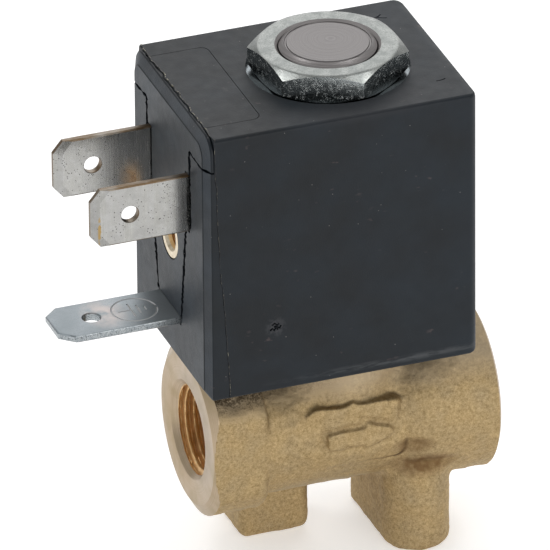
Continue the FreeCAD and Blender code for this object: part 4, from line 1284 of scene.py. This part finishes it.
def make_pieces():
    plastic = [black_plastic("black_plastic", (0.0045, 0.0085, 0.0130), 0.010, 0.31),
               # The grained left face takes a copy with a base several times lighter: the grain is real,
               # and the lighter tone is painted light from the left.
               black_plastic("grained_plastic_lit", (0.0300, 0.0400, 0.0520), 0.032, 0.42)]
    turned = turned_brass()
    edge = sheared_edge()
    finish_piece(brass_body(), "valve", ["valve_body"],
                 [cast_brass(), turned, thread_brass(), turned], brass_faces, 50)
    finish_piece(coil_case(), "coil", ["coil_overmould"], plastic, case_faces)
    finish_piece(terminal_carrier(), "coil", ["terminal_block"], plastic, case_faces)
    finish_piece(mould_flash(), "coil", [], [torn_plastic()])
    # The tabs take copies of the tin that differ only in their light factor: the front tab a darker one and
    # the sloped tips darker still, as painted shade.
    finish_piece(live_tab("tab_rear", REAR_TAB), "coil", ["live_tab_rear"],
                 [tinned("tinned_rear", 1.0), edge, tinned("tip_rear_shaded", 0.86)], tab_faces, 7)
    finish_piece(live_tab("tab_front", FRONT_TAB), "coil", ["live_tab_front"],
                 [tinned("tinned_front", 0.88), edge, tinned("tip_front_shaded", 0.72)], tab_faces, 7)
    finish_piece(earth_tab(), "coil", ["earth_tab"],
                 [bright_zinc(),
                  soft_or_moulded("scored_zinc", (0.60, 0.61, 0.62), 0.5, 0.5),
                  zinc("edge_zinc", (0.44, 0.47, 0.48), (0.30, 0.33, 0.35), 0.3, 0.22, 0.4, 0.01, 0.4)],
                 mark_faces)
    finish_piece(hexagon_nut(), "valve", ["retaining_nut"],
                 [zinc("grey_zinc", (0.29, 0.30, 0.288), (0.195, 0.207, 0.20), 1.2, 0.24, 0.38, 0.003, 0.8),
                  grained_zinc(), faced_steel("bore_steel", 1.5)], nut_faces)
    # The rim of the core is the same steel, lightened as a painted highlight.
    finish_piece(core(), "valve", ["fixed_core"],
                 [faced_steel("faced_steel", 0.82), faced_steel("rim_steel_highlight", 1.3)], core_faces)
    finish_piece(screw_insert(), "coil", ["connector_screw_insert"],
                 [insert_metal(), thread_brass()], insert_faces)
    spring = return_spring()
    finish_piece(spring, "plunger", ["plunger_spring"],
                 [drawn_steel("spring_wire", (0.55, 0.54, 0.53), (3, 3, 1))])
    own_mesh(spring)


def paint_nodes():
    """Finishes of the CAD nodes that stay."""
    copper = enamelled_copper()
    steel = drawn_steel("turned_shaft", (0.50, 0.49, 0.48), (1, 1, 8))
    rubber = soft_or_moulded("seal_rubber", (0.02, 0.02, 0.02), 1.0, 0.6)
    finishes = {
        "yoke_frame": zinc("yoke_zinc", (0.25, 0.28, 0.30), (0.17, 0.19, 0.20), 2.0, 0.2, 0.32, 0.004),
        "tube_gland": steel,
        "guide_tube": drawn_steel("drawn_tube", (0.58, 0.57, 0.55), (1, 1, 12)),
        "plunger": steel,
        "shading_ring": copper,
        "coil_winding": copper,
        "winding_lead_rear": copper,
        "winding_lead_front": copper,
        "tube_o_ring": rubber,
        "seat_seal": rubber,
        "bobbin": soft_or_moulded("bobbin_nylon", (0.30, 0.29, 0.26), 3.0, 0.5),
        "winding_tape": soft_or_moulded("winding_tape", (0.55, 0.42, 0.10), 2.0, 0.45),
    }
    for name, finish in finishes.items():
        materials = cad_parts[name].data.materials
        if not materials:
            materials.append(finish)
        for index in range(len(materials)):
            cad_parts[name].material_slots[index].link = "OBJECT"
            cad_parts[name].material_slots[index].material = finish


# Studio

def add_camera():
    """A long lens that looks down at the inlet side."""
    right = Vector((math.cos(CAMERA_AZIMUTH), math.sin(CAMERA_AZIMUTH), 0))
    up = Vector((-math.sin(CAMERA_AZIMUTH) * math.sin(CAMERA_ELEVATION),
                 math.cos(CAMERA_AZIMUTH) * math.sin(CAMERA_ELEVATION), math.cos(CAMERA_ELEVATION)))
    back = right.cross(up)
    turned_right = right * math.cos(CAMERA_ROLL) - up * math.sin(CAMERA_ROLL)
    turned_up = right * math.sin(CAMERA_ROLL) + up * math.cos(CAMERA_ROLL)
    place = (Vector((0, 0, CASE.top)) + back * CAMERA_AWAY - turned_right * CAMERA_ASIDE
             - turned_up * CAMERA_BELOW) * MM
    data = bpy.data.cameras.new("camera")
    data.sensor_width = 36
    data.lens = CAMERA_LENS
    data.clip_end = 10
    camera = bpy.data.objects.new("camera", data)
    camera.matrix_world = (Matrix.Translation(place)
                           @ Matrix((turned_right, turned_up, back)).transposed().to_4x4())
    bpy.context.scene.collection.objects.link(camera)
    bpy.context.scene.camera = camera


def add_light(name, place, size, power):
    """A square soft light aimed at the middle of the object."""
    data = bpy.data.lights.new(name, "AREA")
    data.size = size
    data.energy = power
    light = bpy.data.objects.new(name, data)
    light.location = place
    aim = Vector((0, 0, 0.025)) - Vector(place)
    light.rotation_euler = aim.to_track_quat("-Z", "Y").to_euler()
    bpy.context.scene.collection.objects.link(light)


def seen_rays(nodes, links):
    """1 for rays that show the background: from the camera, or mirrored or passed on to it."""
    path = nodes.new("ShaderNodeLightPath")
    total = path.outputs["Is Camera Ray"]
    for name in ("Is Glossy Ray", "Is Transmission Ray"):
        add = nodes.new("ShaderNodeMath")
        add.operation = "ADD"
        links.new(total, add.inputs[0])
        links.new(path.outputs[name], add.inputs[1])
        total = add.outputs[0]
    return total


def add_floor():
    reach = 3000
    corners = [(-reach, -reach, 0), (reach, -reach, 0), (reach, reach, 0), (-reach, reach, 0)]
    floor = from_faces("floor", corners, [(0, 1, 2, 3)])
    floor.data.transform(Matrix.Scale(MM, 4))
    material = bpy.data.materials.new("floor")
    material.use_nodes = True
    nodes, links = material.node_tree.nodes, material.node_tree.links
    shader = nodes["Principled BSDF"]
    shader.inputs["Base Color"].default_value = (0.86, 0.86, 0.86, 1)
    shader.inputs["Roughness"].default_value = 0.9
    shader.inputs["Specular IOR Level"].default_value = 0.0
    shader.inputs["Emission Color"].default_value = (1, 1, 1, 1)
    scale = nodes.new("ShaderNodeMath")
    scale.operation = "MULTIPLY"
    scale.inputs[1].default_value = FLOOR_LIFT
    links.new(seen_rays(nodes, links), scale.inputs[0])
    links.new(scale.outputs[0], shader.inputs["Emission Strength"])
    floor.data.materials.append(material)


def add_world():
    world = bpy.data.worlds.new("world")
    bpy.context.scene.world = world
    world.use_nodes = True
    background = world.node_tree.nodes["Background"]
    background.inputs["Color"].default_value = (1, 1, 1, 1)
    background.inputs["Strength"].default_value = 0.58


add_camera()
add_world()
add_light("front_light", (0.15, -0.9, 0.12), 0.5, 2.4)
add_light("back_light", (0.27, 0.72, 0.46), 0.72, 2.1)
add_light("left_top_light", (-0.33, 0.37, 0.88), 0.2, 1.0)
add_light("right_top_light", (0.39, 0.02, 0.93), 0.2, 1.0)
add_floor()
make_pieces()
paint_nodes()
bpy.context.scene.view_settings.view_transform = "Standard"
